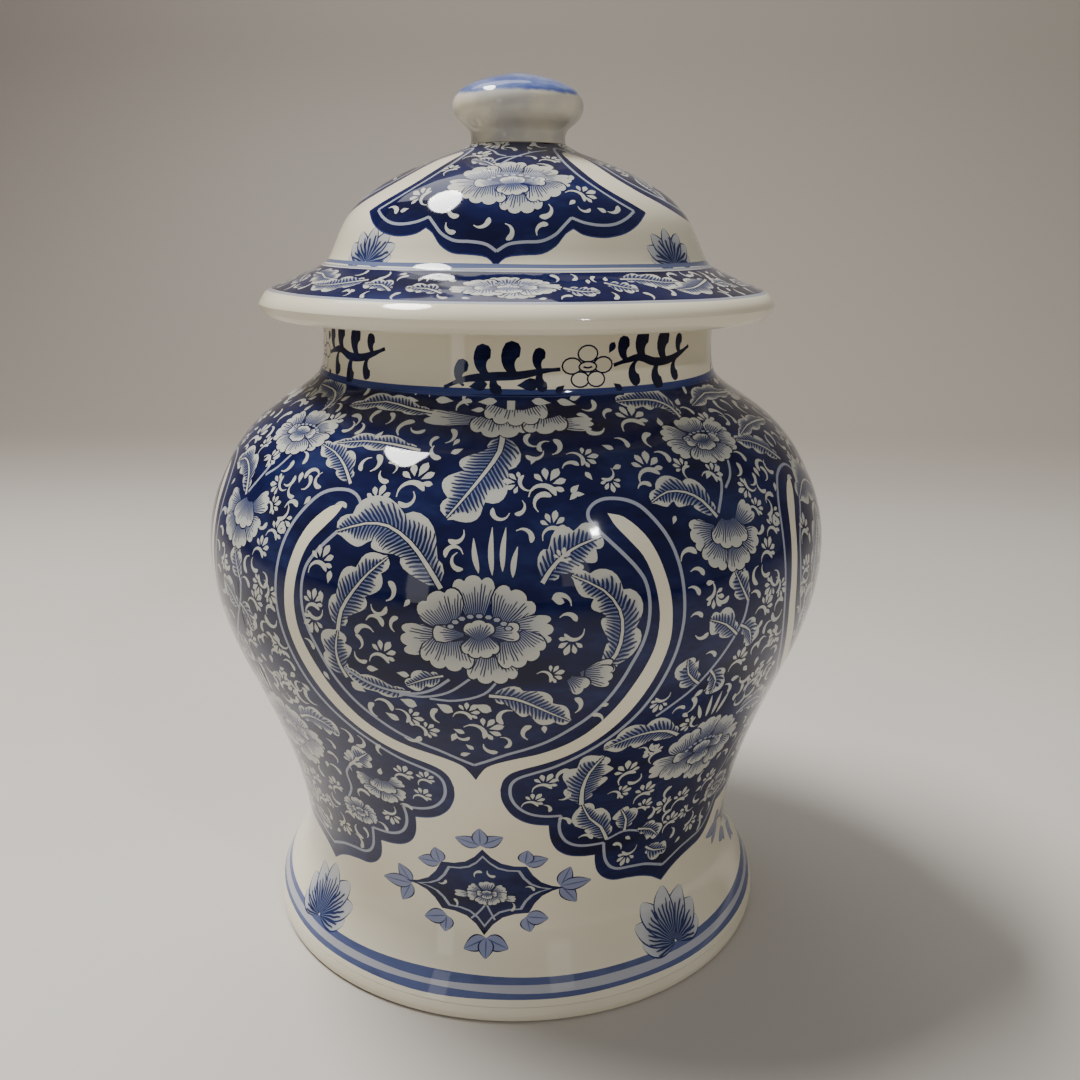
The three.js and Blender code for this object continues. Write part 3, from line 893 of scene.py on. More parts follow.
def paint_cap(sheet, turn_by):
    """The navy that hangs from the knob: a pointed field with side lobes, and a plainer
    tongue at each side of it, with a fine pale line all round."""
    outline = []
    for middle, runs in ((0, CARTOUCHE_EDGE), (90, SIDE_EDGE)):
        half = smooth_places(sheet, runs)
        angle = half[:, 0] / sheet.scale(half[:, 1])
        up = half[:, 1]
        if middle == 0:
            outline.append(np.column_stack([angle, up]))
        else:
            outline.append(np.column_stack([middle - angle, up])[::-1])
    quarter = np.vstack([outline[0], outline[1][1:]])
    half_turn = np.vstack([quarter, (quarter * [-1, 1] + [180, 0])[::-1][1:]])
    top = sheet.end + 1.0
    for colour, drop_by in ((COBALT, 0.4), (NAVY, 0.0)):
        area = np.vstack([half_turn + [turn_by, -drop_by], [(turn_by + 180, top), (turn_by, top)]])
        sheet.shapes.append((area, 0.0, colour, PLAIN, None))
    for side in (1, -1):
        for run in CARTOUCHE_LINE:
            stem(sheet, [(turn_by + 90 + side * (a - 90), s) for a, s in run], 0.9, LINE)


def paint_cartouche(sheet, turn_by):
    """A peony on its stems, with sprigs and curls, inside one pointed field."""
    def at(places):
        return [(a + turn_by, s) for a, s in places]

    flower(sheet, PEONY, turn_by + 2.4, 54.6, 0.98, 0.98)
    stem(sheet, at([(-3.5, 66), (0, 70.5), (7, 75), (17, 78.5), (30, 80.5)]), 0.8)
    stem(sheet, at([(-8.5, 65.5), (-6, 71), (1, 73.8), (8, 74.2)]), 0.7)
    stem(sheet, at([(-2, 74.4), (-8, 76), (-14, 79.5), (-24, 82)]), 0.7)
    leaf(sheet, at([(-6, 66), (-13, 69.6), (-21, 70.0)]), 3.2, 2, 0.7)
    strew(sheet, sprig, [
        (-22, 75, 6.5, 70), (24, 71, 5.6, 50), (-27.6, 48.4, 6.6, 160), (27.4, 49.6, 6.6, 20),
        (-26.4, 63.0, 5.2, 120),
    ], turn_by)
    strew(sheet, comma, [
        (19, 66, 5.0, 60, 140), (14.4, 42.6, 5.2, 340, 150), (36.6, 43.4, 5.0, 80, -110),
        (12, 37.4, 4.6, 160, 130), (3.2, 36.4, 4.8, 20, 150), (-4.4, 38.6, 4.8, 100, -140),
        (25.6, 57.6, 4.6, 100, -130), (-14.2, 42.4, 5.0, 20, -140), (-36.6, 43.4, 5.0, 100, 110),
        (-14, 37.0, 4.4, 20, -120),
    ], turn_by)
    strew(sheet, drop, [
        (30.6, 44.2, 3.0, 330), (-30.2, 43.6, 3.0, 200), (21.6, 45.2, 2.8, 40),
        (-21.6, 46.0, 2.8, 140),
    ], turn_by)


def paint_tongue(sheet, turn_by):
    """A bell flower over a leaf, inside one of the plainer side fields."""
    def at(places):
        return [(a + turn_by, s) for a, s in places]

    leaf(sheet, at([(14, 63), (18, 57), (20, 51.6), (17, 47.6)]), 4.0, 2, 0.8)
    leaf(sheet, at([(-13, 62), (-19, 58), (-22, 52.6), (-19.6, 48.0)]), 4.0, 2, 0.8)
    flower(sheet, BELL, turn_by, 55.0, 0.72, 0.72, beads=False)
    stem(sheet, at([(0, 62), (3, 68), (9, 73.6), (20, 78.4)]), 0.8)
    stem(sheet, at([(-4, 62), (-6, 69), (-13, 74.6), (-25, 79)]), 0.7)
    strew(sheet, sprig, [
        (24, 68, 6.0, 80), (-25, 69, 6.0, 90), (6, 45.6, 4.6, 330), (-7, 45.8, 4.6, 200),
        (-4, 80, 4.4, 90),
    ], turn_by)


def paint_brim(sheet, turn_by):
    """A quarter of the navy brim: a flat peony between long leaves."""
    def at(places):
        return [(a + turn_by, s) for a, s in places]

    flower(sheet, PEONY, turn_by, 14.4, 0.82, 0.46)
    for places, half in (([(-13, 11.0), (-17, 13.6), (-22, 13.4)], 3.0),
                         ([(-25, 11.6), (-29, 15.0), (-34, 14.6)], 3.4),
                         ([(-34.5, 17.6), (-39, 15.6), (-44.5, 13.2), (-50.5, 12.4)], 4.8),
                         ([(12.4, 14.6), (16, 12.6), (20, 12.6)], 3.0),
                         ([(22.5, 17.6), (26, 15.0), (29.4, 13.2)], 3.4),
                         ([(27.4, 19.6), (33, 19.4), (38.5, 17.2), (44.0, 17.0)], 4.4)):
        leaf(sheet, at(places), half, 3, 0.8)
    strew(sheet, comma, [
        (-17.5, 19.8, 4.4, 160, 130), (-12.8, 19.2, 3.4, 20, -120), (-31, 20.4, 4.6, 10, 130),
        (11.4, 20.4, 4.2, 170, -130), (16, 21.0, 3.8, 20, 130), (-22.6, 8.6, 4.2, 200, 130),
        (-30, 8.8, 4.0, 340, -120), (22.6, 9.8, 4.2, 20, 120), (30.5, 9.4, 4.2, 170, -130),
        (37, 11.2, 4.4, 10, 130), (12.2, 9.4, 3.8, 150, 120), (-12.6, 9.0, 3.8, 30, -120),
        (20.6, 19.8, 3.6, 200, 120), (-25.6, 19.4, 3.8, 180, 120),
    ], turn_by)
    strew(sheet, drop, [
        (-20.4, 17.6, 2.6, 90), (18.6, 17.0, 2.6, 80), (34.2, 13.8, 2.4, 60),
        (-27.6, 21.6, 2.4, 10), (6.6, 8.2, 2.4, 10), (-6.6, 8.2, 2.4, 170),
    ], turn_by)


def paint_lid(sheet):
    """The whole lid: four lotuses, the two caps of navy, the brim, and what is on them."""
    for a in (-40.5, 54.5, 139.5, -125.5):
        lotus(sheet, a, 26.6, 10.6, 1.3)
    for middle in (-180.0, 0.0):
        paint_cap(sheet, middle)
    lay_band(sheet, 5.8, 1.3, LINE, 0.1)
    lay_band(sheet, 15.1, 17.4, NAVY, 0.12)
    brim = len(sheet.shapes) - 1
    lay_band(sheet, 24.5, 1.0, LINE, 0.1)
    lay_band(sheet, 26.1, 1.5, HAZE, 0.12)
    for k in range(4):
        paint_brim(sheet, 3.0 + 90.0 * (k - 1))
    for middle in (-180.0, 0.0):
        paint_cartouche(sheet, middle)
        paint_tongue(sheet, middle + 90.0)
    sheet.fill_gaps(brim, 1.6, 2.5, 3.6, 5)
    for cap in [k for k, shape in enumerate(sheet.shapes[:brim]) if shape[2] is NAVY]:
        sheet.fill_gaps(cap, 2.0, 3.0, 4.0, 7)


# ------------------------------------------------------------- meshes and maps
def row_of(angles, radius, height):
    """One ring of points at the given angles: 0 degrees faces the front, angles grow
    towards +X."""
    a = angles * RAD
    return np.column_stack([radius * np.sin(a), -radius * np.cos(a), np.full(len(a), height)])


class Body:
    """Points, faces and face-corner values of one turned piece, gathered in millimetres."""

    def __init__(self):
        self.points, self.normals, self.faces = [], [], []
        self.colours, self.strokes, self.maps = [], [], []
        self.count = 0

    def add_points(self, points, normals):
        first = self.count
        self.points.append(points)
        self.normals.append(normals)
        self.count += len(points)
        return first

    def add_faces(self, corners, colour, stroke, uv):
        self.faces.append(np.asarray(corners))
        self.colours.append(colour.reshape(-1, 4))
        self.strokes.append(stroke.reshape(-1, 3))
        self.maps.append(uv.reshape(-1, 2))

    def add_plain(self, corners, colour, uv):
        shape = corners.shape
        paint_here = np.ones(shape + (4,))
        paint_here[..., :3] = colour
        self.add_faces(corners, paint_here, np.zeros(shape + (3,)), uv)


def profile_normals(run):
    """Outward normals (radial, up) of a run that keeps the solid on its left."""
    along = np.gradient(run, axis=0)
    size = np.maximum(np.linalg.norm(along, axis=1), 1e-9)
    return np.column_stack([along[:, 1], -along[:, 0]]) / size[:, None]


def add_turned(body, angles, run, colour, map_rows):
    """Quads between rings at the same angles, from the first corner of the run to the last,
    with a fan where the run meets the axis.  angles go once round without repeating."""
    normals = profile_normals(run)
    steps = np.append(angles, angles[0] + 360)
    rings = []
    for (radius, height), (out, up) in zip(run, normals):
        a = angles[:1] if radius < 1e-6 else angles
        n = row_of(a, out, up)
        if radius < 1e-6:
            n = np.array([[0, 0, math.copysign(1, up)]])
        rings.append((body.add_points(row_of(a, radius, height), n), len(a)))
    index = np.arange(len(angles))
    after = np.roll(index, -1)
    for k in range(len(run) - 1):
        (low, low_n), (high, high_n) = rings[k], rings[k + 1]
        u0, u1 = steps[:-1] / 360, steps[1:] / 360
        v0, v1 = np.full_like(u0, map_rows[k]), np.full_like(u0, map_rows[k + 1])
        if low_n == 1:
            corners = np.column_stack([np.full_like(index, low), high + after, high + index])
            uv = np.stack([np.column_stack([u0, v0]), np.column_stack([u1, v1]),
                           np.column_stack([u0, v1])], axis=1)
        elif high_n == 1:
            corners = np.column_stack([low + index, low + after, np.full_like(index, high)])
            uv = np.stack([np.column_stack([u0, v0]), np.column_stack([u1, v0]),
                           np.column_stack([u0, v1])], axis=1)
        else:
            corners = np.column_stack([low + index, low + after, high + after, high + index])
            uv = np.stack([np.column_stack([u0, v0]), np.column_stack([u1, v0]),
                           np.column_stack([u1, v1]), np.column_stack([u0, v1])], axis=1)
        body.add_plain(corners, colour, uv)


def add_sheet(body, sheet, turn_by, map_start, map_scale):
    """Rolls a cut sheet on to its profile, as often as it goes round."""
    places, triangles, colours, strokes = sheet.cut()
    used = np.unique(triangles)
    renumber = np.zeros(len(places), int)
    renumber[used] = np.arange(len(used))
    places, triangles = places[used], renumber[triangles]
    a, s = places[:, 0], places[:, 1]
    radius, height = sheet.profile.at(s)
    out, up = sheet.profile.outward(np.clip(s, sheet.start + 0.01, sheet.end - 0.01))
    for k in range(round(180 / sheet.reach)):
        angle = (a + turn_by + 2 * sheet.reach * k) * RAD
        points = np.column_stack([radius * np.sin(angle), -radius * np.cos(angle), height])
        normals = np.column_stack([out * np.sin(angle), -out * np.cos(angle), up])
        first = body.add_points(points, normals)
        uv = np.column_stack([angle / (2 * np.pi), map_start + s * map_scale])
        body.add_faces(triangles + first, colours, strokes, uv[triangles])


MERGE_CELL = 0.004      # millimetres


def finished(name, body, material, rides_on, stands_for):
    """Makes the Blender object: points that meet are merged, every corner keeps its paint,
    its strokes, its map and its normal, and the piece hangs on its body's empty while the parts it
    stands for are hidden."""
    points = np.vstack(body.points)
    normals = np.vstack(body.normals)
    sizes = np.concatenate([np.full(len(f), f.shape[1]) for f in body.faces])
    corners = np.concatenate([f.ravel() for f in body.faces])
    cell = np.round(points / MERGE_CELL).astype(np.int64)
    _, keep, merged = np.unique(cell, axis=0, return_index=True, return_inverse=True)
    merged = merged.ravel()
    joined = merged[corners]
    starts = np.concatenate([[0], np.cumsum(sizes)])
    owner = np.repeat(np.arange(len(sizes)), sizes)
    following = np.arange(len(corners)) + 1
    following[starts[1:] - 1] = starts[:-1]
    flat_edge = np.zeros(len(sizes), bool)
    np.logical_or.at(flat_edge, owner, joined == joined[following])
    good = ~flat_edge[owner]
    faces = np.split(joined[good], np.cumsum(sizes[~flat_edge])[:-1])
    mesh = bpy.data.meshes.new(name)
    mesh.from_pydata((points[keep] * MM).tolist(), [], [f.tolist() for f in faces])
    mesh.polygons.foreach_set("use_smooth", np.ones(len(faces), bool))
    colour = mesh.color_attributes.new("paint", "FLOAT_COLOR", "CORNER")
    colour.data.foreach_set("color", np.vstack(body.colours)[good].astype(np.float32).ravel())
    stroke = mesh.attributes.new("stroke", "FLOAT_VECTOR", "CORNER")
    stroke.data.foreach_set("vector", np.vstack(body.strokes)[good].astype(np.float32).ravel())
    uv = mesh.uv_layers.new(name="OFBake")
    uv.data.foreach_set("uv", np.vstack(body.maps)[good].astype(np.float32).ravel())
    corner_normals = normals[corners][good]
    corner_normals /= np.maximum(np.linalg.norm(corner_normals, axis=1), 1e-9)[:, None]
    mesh.normals_split_custom_set(corner_normals.tolist())
    mesh.materials.append(material)
    mesh.update()
    piece = bpy.data.objects.new(name, mesh)
    bpy.context.scene.collection.objects.link(piece)
    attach(piece, rides_on)
    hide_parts(*stands_for)
    return piece


# ------------------------------------------------------------------- materials
class Nodes:
    """Short hands for building a node tree: each call adds a node and returns its output."""

    def __init__(self, tree):
        self.tree = tree

    def add(self, kind, **settings):
        node = self.tree.nodes.new(kind)
        for key, value in settings.items():
            setattr(node, key, value)
        return node

    def feed(self, socket, value):
        if isinstance(value, bpy.types.NodeSocket):
            self.tree.links.new(value, socket)
        else:
            socket.default_value = value

    def math(self, operation, first, second=0.0, third=0.0, clamp=False):
        node = self.add("ShaderNodeMath", operation=operation, use_clamp=clamp)
        for socket, value in zip(node.inputs, (first, second, third)):
            self.feed(socket, value)
        return node.outputs[0]

    def ramp(self, value, low, high):
        """0 below low, 1 above high, smooth between."""
        node = self.add("ShaderNodeMapRange", interpolation_type="SMOOTHSTEP")
        for name, part in (("Value", value), ("From Min", low), ("From Max", high)):
            self.feed(node.inputs[name], part)
        return node.outputs["Result"]

    def mix(self, factor, first, second, blend="MIX"):
        node = self.add("ShaderNodeMix", data_type="RGBA", blend_type=blend)
        for socket, value in zip([node.inputs[0], node.inputs[6], node.inputs[7]],
                                 (factor, first, second)):
            self.feed(socket, value)
        return node.outputs[2]

    def noise(self, point, scale, detail=2.0, rough=0.5, stretch=(1, 1, 1)):
        mapping = self.add("ShaderNodeMapping")
        mapping.inputs["Scale"].default_value = stretch
        self.feed(mapping.inputs["Vector"], point)
        node = self.add("ShaderNodeTexNoise")
        self.feed(node.inputs["Vector"], mapping.outputs[0])
        node.inputs["Scale"].default_value = scale
        node.inputs["Detail"].default_value = detail
        node.inputs["Roughness"].default_value = rough
        return node.outputs["Fac"]


def rgba(colour):
    return (*[float(c) for c in colour], 1.0)


def new_group(name, inputs, outputs):
    group = bpy.data.node_groups.new(name, "ShaderNodeTree")
    for label, kind in inputs:
        group.interface.new_socket(label, in_out="INPUT", socket_type=kind)
    for label, kind in outputs:
        group.interface.new_socket(label, in_out="OUTPUT", socket_type=kind)
    nodes = Nodes(group)
    return group, nodes, nodes.add("NodeGroupInput"), nodes.add("NodeGroupOutput")


def brushwork_group():
    """Strokes and washes of the brush over the flat paint: hatching that springs from the
    foot of a petal or the rib of a leaf, a wash that pools there, and the uneven navy."""
    group, n, given, result = new_group(
        "underglaze_brushwork",
        [("Paint", "NodeSocketColor"), ("Stroke", "NodeSocketVector"),
         ("Point", "NodeSocketVector")],
        [("Color", "NodeSocketColor")])
    part = n.add("ShaderNodeSeparateXYZ")
    n.feed(part.inputs[0], given.outputs["Stroke"])
    x, y, kind = part.outputs
    point = given.outputs["Point"]
    shake = n.math("SUBTRACT", n.noise(point, 260, 1.0), 0.5)
    is_petal = n.math("GREATER_THAN", kind, 0.5)
    is_leaf = n.math("LESS_THAN", kind, -0.5)
    fan = n.math("MULTIPLY", n.math("ARCTAN2", x, y), kind)
    reach = n.math("SQRT", n.math("ADD", n.math("MULTIPLY", x, x), n.math("MULTIPLY", y, y)))
    phase = n.math("ADD", n.math("MULTIPLY", fan, is_petal), n.math("MULTIPLY", y, is_leaf))
    phase = n.math("ADD", phase, n.math("MULTIPLY", shake, 0.9))
    far = n.math("ADD", n.math("MULTIPLY", reach, is_petal),
                 n.math("MULTIPLY", n.math("ABSOLUTE", x), is_leaf))
    stroke_no = n.math("FLOOR", phase)
    chance = n.add("ShaderNodeTexWhiteNoise", noise_dimensions="1D")
    n.feed(chance.inputs["W"], stroke_no)
    stop = n.math("MULTIPLY_ADD", chance.outputs["Value"], 0.20, 0.72)
    offset = n.math("ABSOLUTE", n.math("SUBTRACT", n.math("FRACT", phase), 0.5))
    taper = n.math("MULTIPLY_ADD", n.ramp(far, n.math("SUBTRACT", stop, 0.40), stop), -0.14, 0.32)
    line = n.math("SUBTRACT", 1.0, n.ramp(offset, n.math("SUBTRACT", taper, 0.07),
                                          n.math("ADD", taper, 0.07)))
    short = n.math("SUBTRACT", 1.0, n.ramp(far, n.math("SUBTRACT", stop, 0.05), stop))
    drawn = n.math("MAXIMUM", is_petal, is_leaf)
    line = n.math("MULTIPLY", n.math("MULTIPLY", line, short), drawn)
    pool = n.math("MULTIPLY", n.math("SUBTRACT", 1.0, n.ramp(far, 0.25, 1.0)), drawn)
    colour = n.mix(n.math("MULTIPLY", pool, 0.95), given.outputs["Paint"], rgba(HAZE))
    colour = n.mix(n.math("MULTIPLY", line, 0.95), colour, rgba(STROKE_BLUE))
    broad = n.noise(point, 34, 3.0, 0.6, (1, 1, 2.6))
    fine = n.noise(point, 150, 2.0, 0.6, (1, 1, 2.2))
    grey = n.add("ShaderNodeRGBToBW")
    n.feed(grey.inputs[0], colour)
    dark = n.math("SUBTRACT", 1.0, n.ramp(grey.outputs[0], 0.02, 0.22))
    mottle = n.math("ADD", n.math("MULTIPLY", broad, 0.7), n.math("MULTIPLY", fine, 0.3))
    thin = n.ramp(mottle, 0.46, 0.70)
    wash = n.math("MULTIPLY", n.math("MULTIPLY", dark, thin), 0.6)
    colour = n.mix(wash, colour, rgba(THIN_NAVY))
    thick = n.math("SUBTRACT", 1.0, n.ramp(broad, 0.34, 0.46))
    pooled = n.math("MULTIPLY", n.math("MULTIPLY", dark, thick), 0.6)
    colour = n.mix(pooled, colour, rgba(POOLED_NAVY))
    n.feed(result.inputs["Color"], colour)
    return group


def body_group():
    """The porcelain under the glaze: a faint drift of warmth and a few iron specks."""
    group, n, given, result = new_group(
        "porcelain_body", [("Color", "NodeSocketColor"), ("Point", "NodeSocketVector")],
        [("Color", "NodeSocketColor"), ("Roughness", "NodeSocketFloat"),
         ("Height", "NodeSocketFloat")])
    point = given.outputs["Point"]
    drift = n.noise(point, 14, 2.0)
    warmth = n.ramp(drift, 0.35, 0.7)
    colour = n.mix(warmth, given.outputs["Color"], rgba(WARM_DRIFT), "MULTIPLY")
    speck = n.add("ShaderNodeTexVoronoi", feature="F1")
    n.feed(speck.inputs["Vector"], point)
    speck.inputs["Scale"].default_value = 95
    spot = n.math("SUBTRACT", 1.0, n.ramp(speck.outputs["Distance"], 0.015, 0.035))
    gate = n.add("ShaderNodeSeparateColor")
    n.feed(gate.inputs[0], speck.outputs["Color"])
    spot = n.math("MULTIPLY", spot, n.math("GREATER_THAN", gate.outputs[0], 0.86))
    colour = n.mix(n.math("MULTIPLY", spot, 0.55), colour, rgba(IRON_SPECK))
    n.feed(result.inputs["Color"], colour)
    n.feed(result.inputs["Roughness"], n.math("MULTIPLY_ADD", n.noise(point, 60, 2.0), 0.06, 0.02))
    swell = n.noise(point, 42, 1.0)
    ripple = n.noise(point, 180, 1.0, 0.5, (1, 1, 2))
    n.feed(result.inputs["Height"], n.math("ADD", swell, n.math("MULTIPLY", ripple, 0.12)))
    return group


BRUSHWORK = brushwork_group()
PORCELAIN = body_group()


GLAZE_DEPTH = 0.00016       # metres, the swell of the glaze
GLAZE_IOR = 1.47
GLAZE_SPECULAR = 0.34
GLAZE_COAT = 0.05
GLAZE_COAT_ROUGHNESS = 0.03


def glazed(name, flat_colour=None):
    """Clear glossy glaze over porcelain; painted where no flat colour is given."""
    material = bpy.data.materials.new(name)
    material.use_nodes = True
    tree = material.node_tree
    tree.nodes.clear()
    n = Nodes(tree)
    point = n.add("ShaderNodeTexCoord").outputs["Object"]
    if flat_colour is None:
        brush = n.add("ShaderNodeGroup", node_tree=BRUSHWORK)
        paint_here = n.add("ShaderNodeAttribute", attribute_name="paint")
        stroke_here = n.add("ShaderNodeAttribute", attribute_name="stroke")
        n.feed(brush.inputs["Paint"], paint_here.outputs["Color"])
        n.feed(brush.inputs["Stroke"], stroke_here.outputs["Vector"])
        n.feed(brush.inputs["Point"], point)
        colour = brush.outputs["Color"]
    else:
        colour = flat_colour(n, point)
    clay = n.add("ShaderNodeGroup", node_tree=PORCELAIN)
    n.feed(clay.inputs["Color"], colour)
    n.feed(clay.inputs["Point"], point)
    bump = n.add("ShaderNodeBump")
    bump.inputs["Strength"].default_value = 1.0
    bump.inputs["Distance"].default_value = GLAZE_DEPTH
    n.feed(bump.inputs["Height"], clay.outputs["Height"])
    shader = n.add("ShaderNodeBsdfPrincipled")
    n.feed(shader.inputs["Base Color"], clay.outputs["Color"])
    n.feed(shader.inputs["Roughness"], clay.outputs["Roughness"])
    n.feed(shader.inputs["Normal"], bump.outputs["Normal"])
    shader.inputs["IOR"].default_value = GLAZE_IOR
    shader.inputs["Specular IOR Level"].default_value = GLAZE_SPECULAR
    shader.inputs["Coat Weight"].default_value = GLAZE_COAT
    shader.inputs["Coat Roughness"].default_value = GLAZE_COAT_ROUGHNESS
    output = n.add("ShaderNodeOutputMaterial")
    n.feed(output.inputs["Surface"], shader.outputs[0])
    return material


KNOB_BLUE_FROM = 0.2750      # metres up, where the blue of the crown starts and is full
KNOB_BLUE_TO = 0.2763
WIPED_BELOW = 0.0004         # metres up, where the bare clay of the foot ends
GLAZED_ABOVE = 0.0011


def knob_wash(n, point):
    """Cobalt washed over the crown of the knob, with an uneven edge, on the pale glaze."""
    part = n.add("ShaderNodeSeparateXYZ")
    n.feed(part.inputs[0], point)
    edge = n.math("ADD", part.outputs[2], n.math("MULTIPLY", n.noise(point, 110, 3.0, 0.6), 0.0030))
    blue = n.ramp(edge, KNOB_BLUE_FROM, KNOB_BLUE_TO)
    streak = n.ramp(n.noise(point, 90, 3.0, 0.6, (1, 1, 3)), 0.35, 0.7)
    wash = n.mix(streak, rgba(KNOB_BLUE), rgba(KNOB_PALE_BLUE))
    side = n.mix(n.ramp(n.noise(point, 70, 2.0), 0.4, 0.7), rgba(CREAM), rgba(KNOB_SIDE))
    return n.mix(blue, side, wash)


def foot_clay(n, point):
    """Cream glaze, wiped off under the foot so that the warm grey clay shows."""
    part = n.add("ShaderNodeSeparateXYZ")
    n.feed(part.inputs[0], point)
    bare = n.math("SUBTRACT", 1.0, n.ramp(part.outputs[2], WIPED_BELOW, GLAZED_ABOVE))
    clay = n.mix(n.noise(point, 400, 3.0), rgba(BARE_CLAY), rgba(DARK_CLAY))
    return n.mix(bare, rgba(CREAM), clay)


def plain_cream(n, point):
    return n.mix(n.ramp(n.noise(point, 22, 2.0), 0.3, 0.7), rgba(CREAM), rgba(CREAM_SHADE))


# ---------------------------------------------------------------------- pieces
WALL_PROFILE = Profile(JAR_OUTSIDE)
LID_PROFILE = Profile(LID_OUTSIDE)
WALL_START_S = float(np.interp(FOOT_TOP + 0.02, WALL_PROFILE.run[:, 1], WALL_PROFILE.s))
WALL_END_S = float(np.interp(SHOULDER_EDGE, WALL_PROFILE.run[:, 1], WALL_PROFILE.s))
COLLAR_END_S = float(WALL_PROFILE.length)
PANEL_STEP = 3.75       # degrees between the corners of a painted piece
QUARTER = 45.0          # half the angle of a sheet that comes four times round
ROW_STEP = 4.0          # millimetres between the rows of a sheet, about
ROUND_ANGLES = np.arange(0, 360, PANEL_STEP)


def map_rows(run, start, scale):
    return start + lengths(run) * scale


def make_wall(material):
    """The jar's wall: painted outside, a flat underside, and the lining down to the floor."""
    sheet = Sheet(WALL_PROFILE, WALL_START_S, WALL_END_S, QUARTER, PANEL_STEP, ROW_STEP)
    paint_wall(sheet)
    radius, height = WALL_PROFILE.at(WALL_START_S)
    top_r, top_z = WALL_PROFILE.at(WALL_END_S)
    under = np.array([[out, height] for out in (0, 40, 70, radius - 1, radius)])
    inside = np.vstack([[[top_r, top_z], [62, 189.95]], smooth_line(WALL_INSIDE, 4)])
    total = lengths(under)[-1] + (WALL_END_S - WALL_START_S) + lengths(inside)[-1]
    body = Body()
    angles = ROUND_ANGLES + PANEL_TURN
    add_turned(body, angles, under, CREAM, map_rows(under, 0, 1 / total))
    sheet_map = lengths(under)[-1] / total
    add_sheet(body, sheet, PANEL_TURN, sheet_map - WALL_START_S / total, 1 / total)
    add_turned(body, angles, inside, CREAM,
               map_rows(inside, sheet_map + (WALL_END_S - WALL_START_S) / total, 1 / total))
    return finished("painted_wall", body, material, "jar", ["jar_wall"])


def make_collar(material):
    """The collar: scrolls outside, a rounded rim, a straight bore and a flat foot."""
    start = WALL_END_S + 0.02
    sheet = Sheet(WALL_PROFILE, start, COLLAR_END_S, QUARTER, PANEL_STEP, ROW_STEP)
    paint_collar(sheet)
    low_r, low_z = WALL_PROFILE.at(start)
    top_r, top_z = WALL_PROFILE.at(COLLAR_END_S)
    rim = np.vstack([smooth_line([[top_r, top_z]] + COLLAR_RIM, 3), [[low_r, low_z]]])
    total = (COLLAR_END_S - start) + lengths(rim)[-1]
    body = Body()
    add_sheet(body, sheet, COLLAR_TURN, -start / total, 1 / total)
    add_turned(body, ROUND_ANGLES + COLLAR_TURN, rim, CREAM,
               map_rows(rim, (COLLAR_END_S - start) / total, 1 / total))
    return finished("scrolled_collar", body, material, "jar", ["collar"])


def make_cover(material):
    """The lid's cover: painted from the brim's widest edge to the knob, hollow below."""
    sheet = Sheet(LID_PROFILE, 0.0, LID_PROFILE.length, 180.0, PANEL_STEP, ROW_STEP)
    paint_lid(sheet)
    under = np.vstack([smooth_line(LID_UNDERSIDE, 4), [LID_OUTSIDE[0]]])
    crown = np.array([[radius, KNOB_FLAT_Z] for radius in (KNOB_FLAT_R, 8, 0)])
    total = lengths(under)[-1] + LID_PROFILE.length + KNOB_FLAT_R
    body = Body()
    angles = ROUND_ANGLES + LID_TURN
    add_turned(body, angles, under, CREAM, map_rows(under, 0, 1 / total))
    sheet_map = lengths(under)[-1] / total
    add_sheet(body, sheet, LID_TURN, sheet_map, 1 / total)
    places = body.points[-1]
    top = np.abs(places[:, 2] - KNOB_FLAT_Z) < 1e-4
    top &= np.hypot(places[:, 0], places[:, 1]) < KNOB_FLAT_R + 0.01
    rim_angles = np.unique(np.round(np.degrees(np.arctan2(places[top, 0], -places[top, 1])), 5))
    add_turned(body, rim_angles, crown, CREAM,
               map_rows(crown, sheet_map + LID_PROFILE.length / total, 1 / total))
    return finished("painted_cover", body, material, "lid", ["lid_cover"])


PLAIN_STEP = 3.0        # degrees between the corners of a piece with no painting


def ring_section(corners):
    """The smooth outline of a ring's section, back to where it starts."""
    run = smooth_line(corners, 4)
    return np.vstack([run, run[:1]])


def make_turned(name, run, material, rides_on, stands_for):
    """A plain turned piece: a closed section, or one that starts and ends on the axis."""
    body = Body()
    add_turned(body, np.arange(0, 360, PLAIN_STEP), run, CREAM,
               map_rows(run, 0, 1 / lengths(run)[-1]))
    return finished(name, body, material, rides_on, stands_for)


def make_knob(material):
    """The knob, from the middle of its underside over its crown to the axis."""
    foot = [[radius, KNOB_FOOT_Z] for radius in (0, 8, KNOB_OUTSIDE[0][0])]
    run = np.vstack([foot, smooth_line(KNOB_OUTSIDE, 6)])
    return make_turned("lid_knob_glazed", run, material, "lid", ["lid_knob"])


PAINTED = glazed("painted_glaze")
COLLAR_GLAZE = glazed("collar_glaze")
make_wall(PAINTED)
make_collar(COLLAR_GLAZE)
make_cover(PAINTED)
make_turned("foot_ring_glazed", ring_section(FOOT_RING), glazed("foot_glaze", foot_clay),
            "jar", ["foot_ring"])
make_turned("locating_ring_glazed", ring_section(LOCATING_RING),
            glazed("lining_glaze", plain_cream), "lid", ["locating_ring"])
make_knob(glazed("knob_glaze", knob_wash))


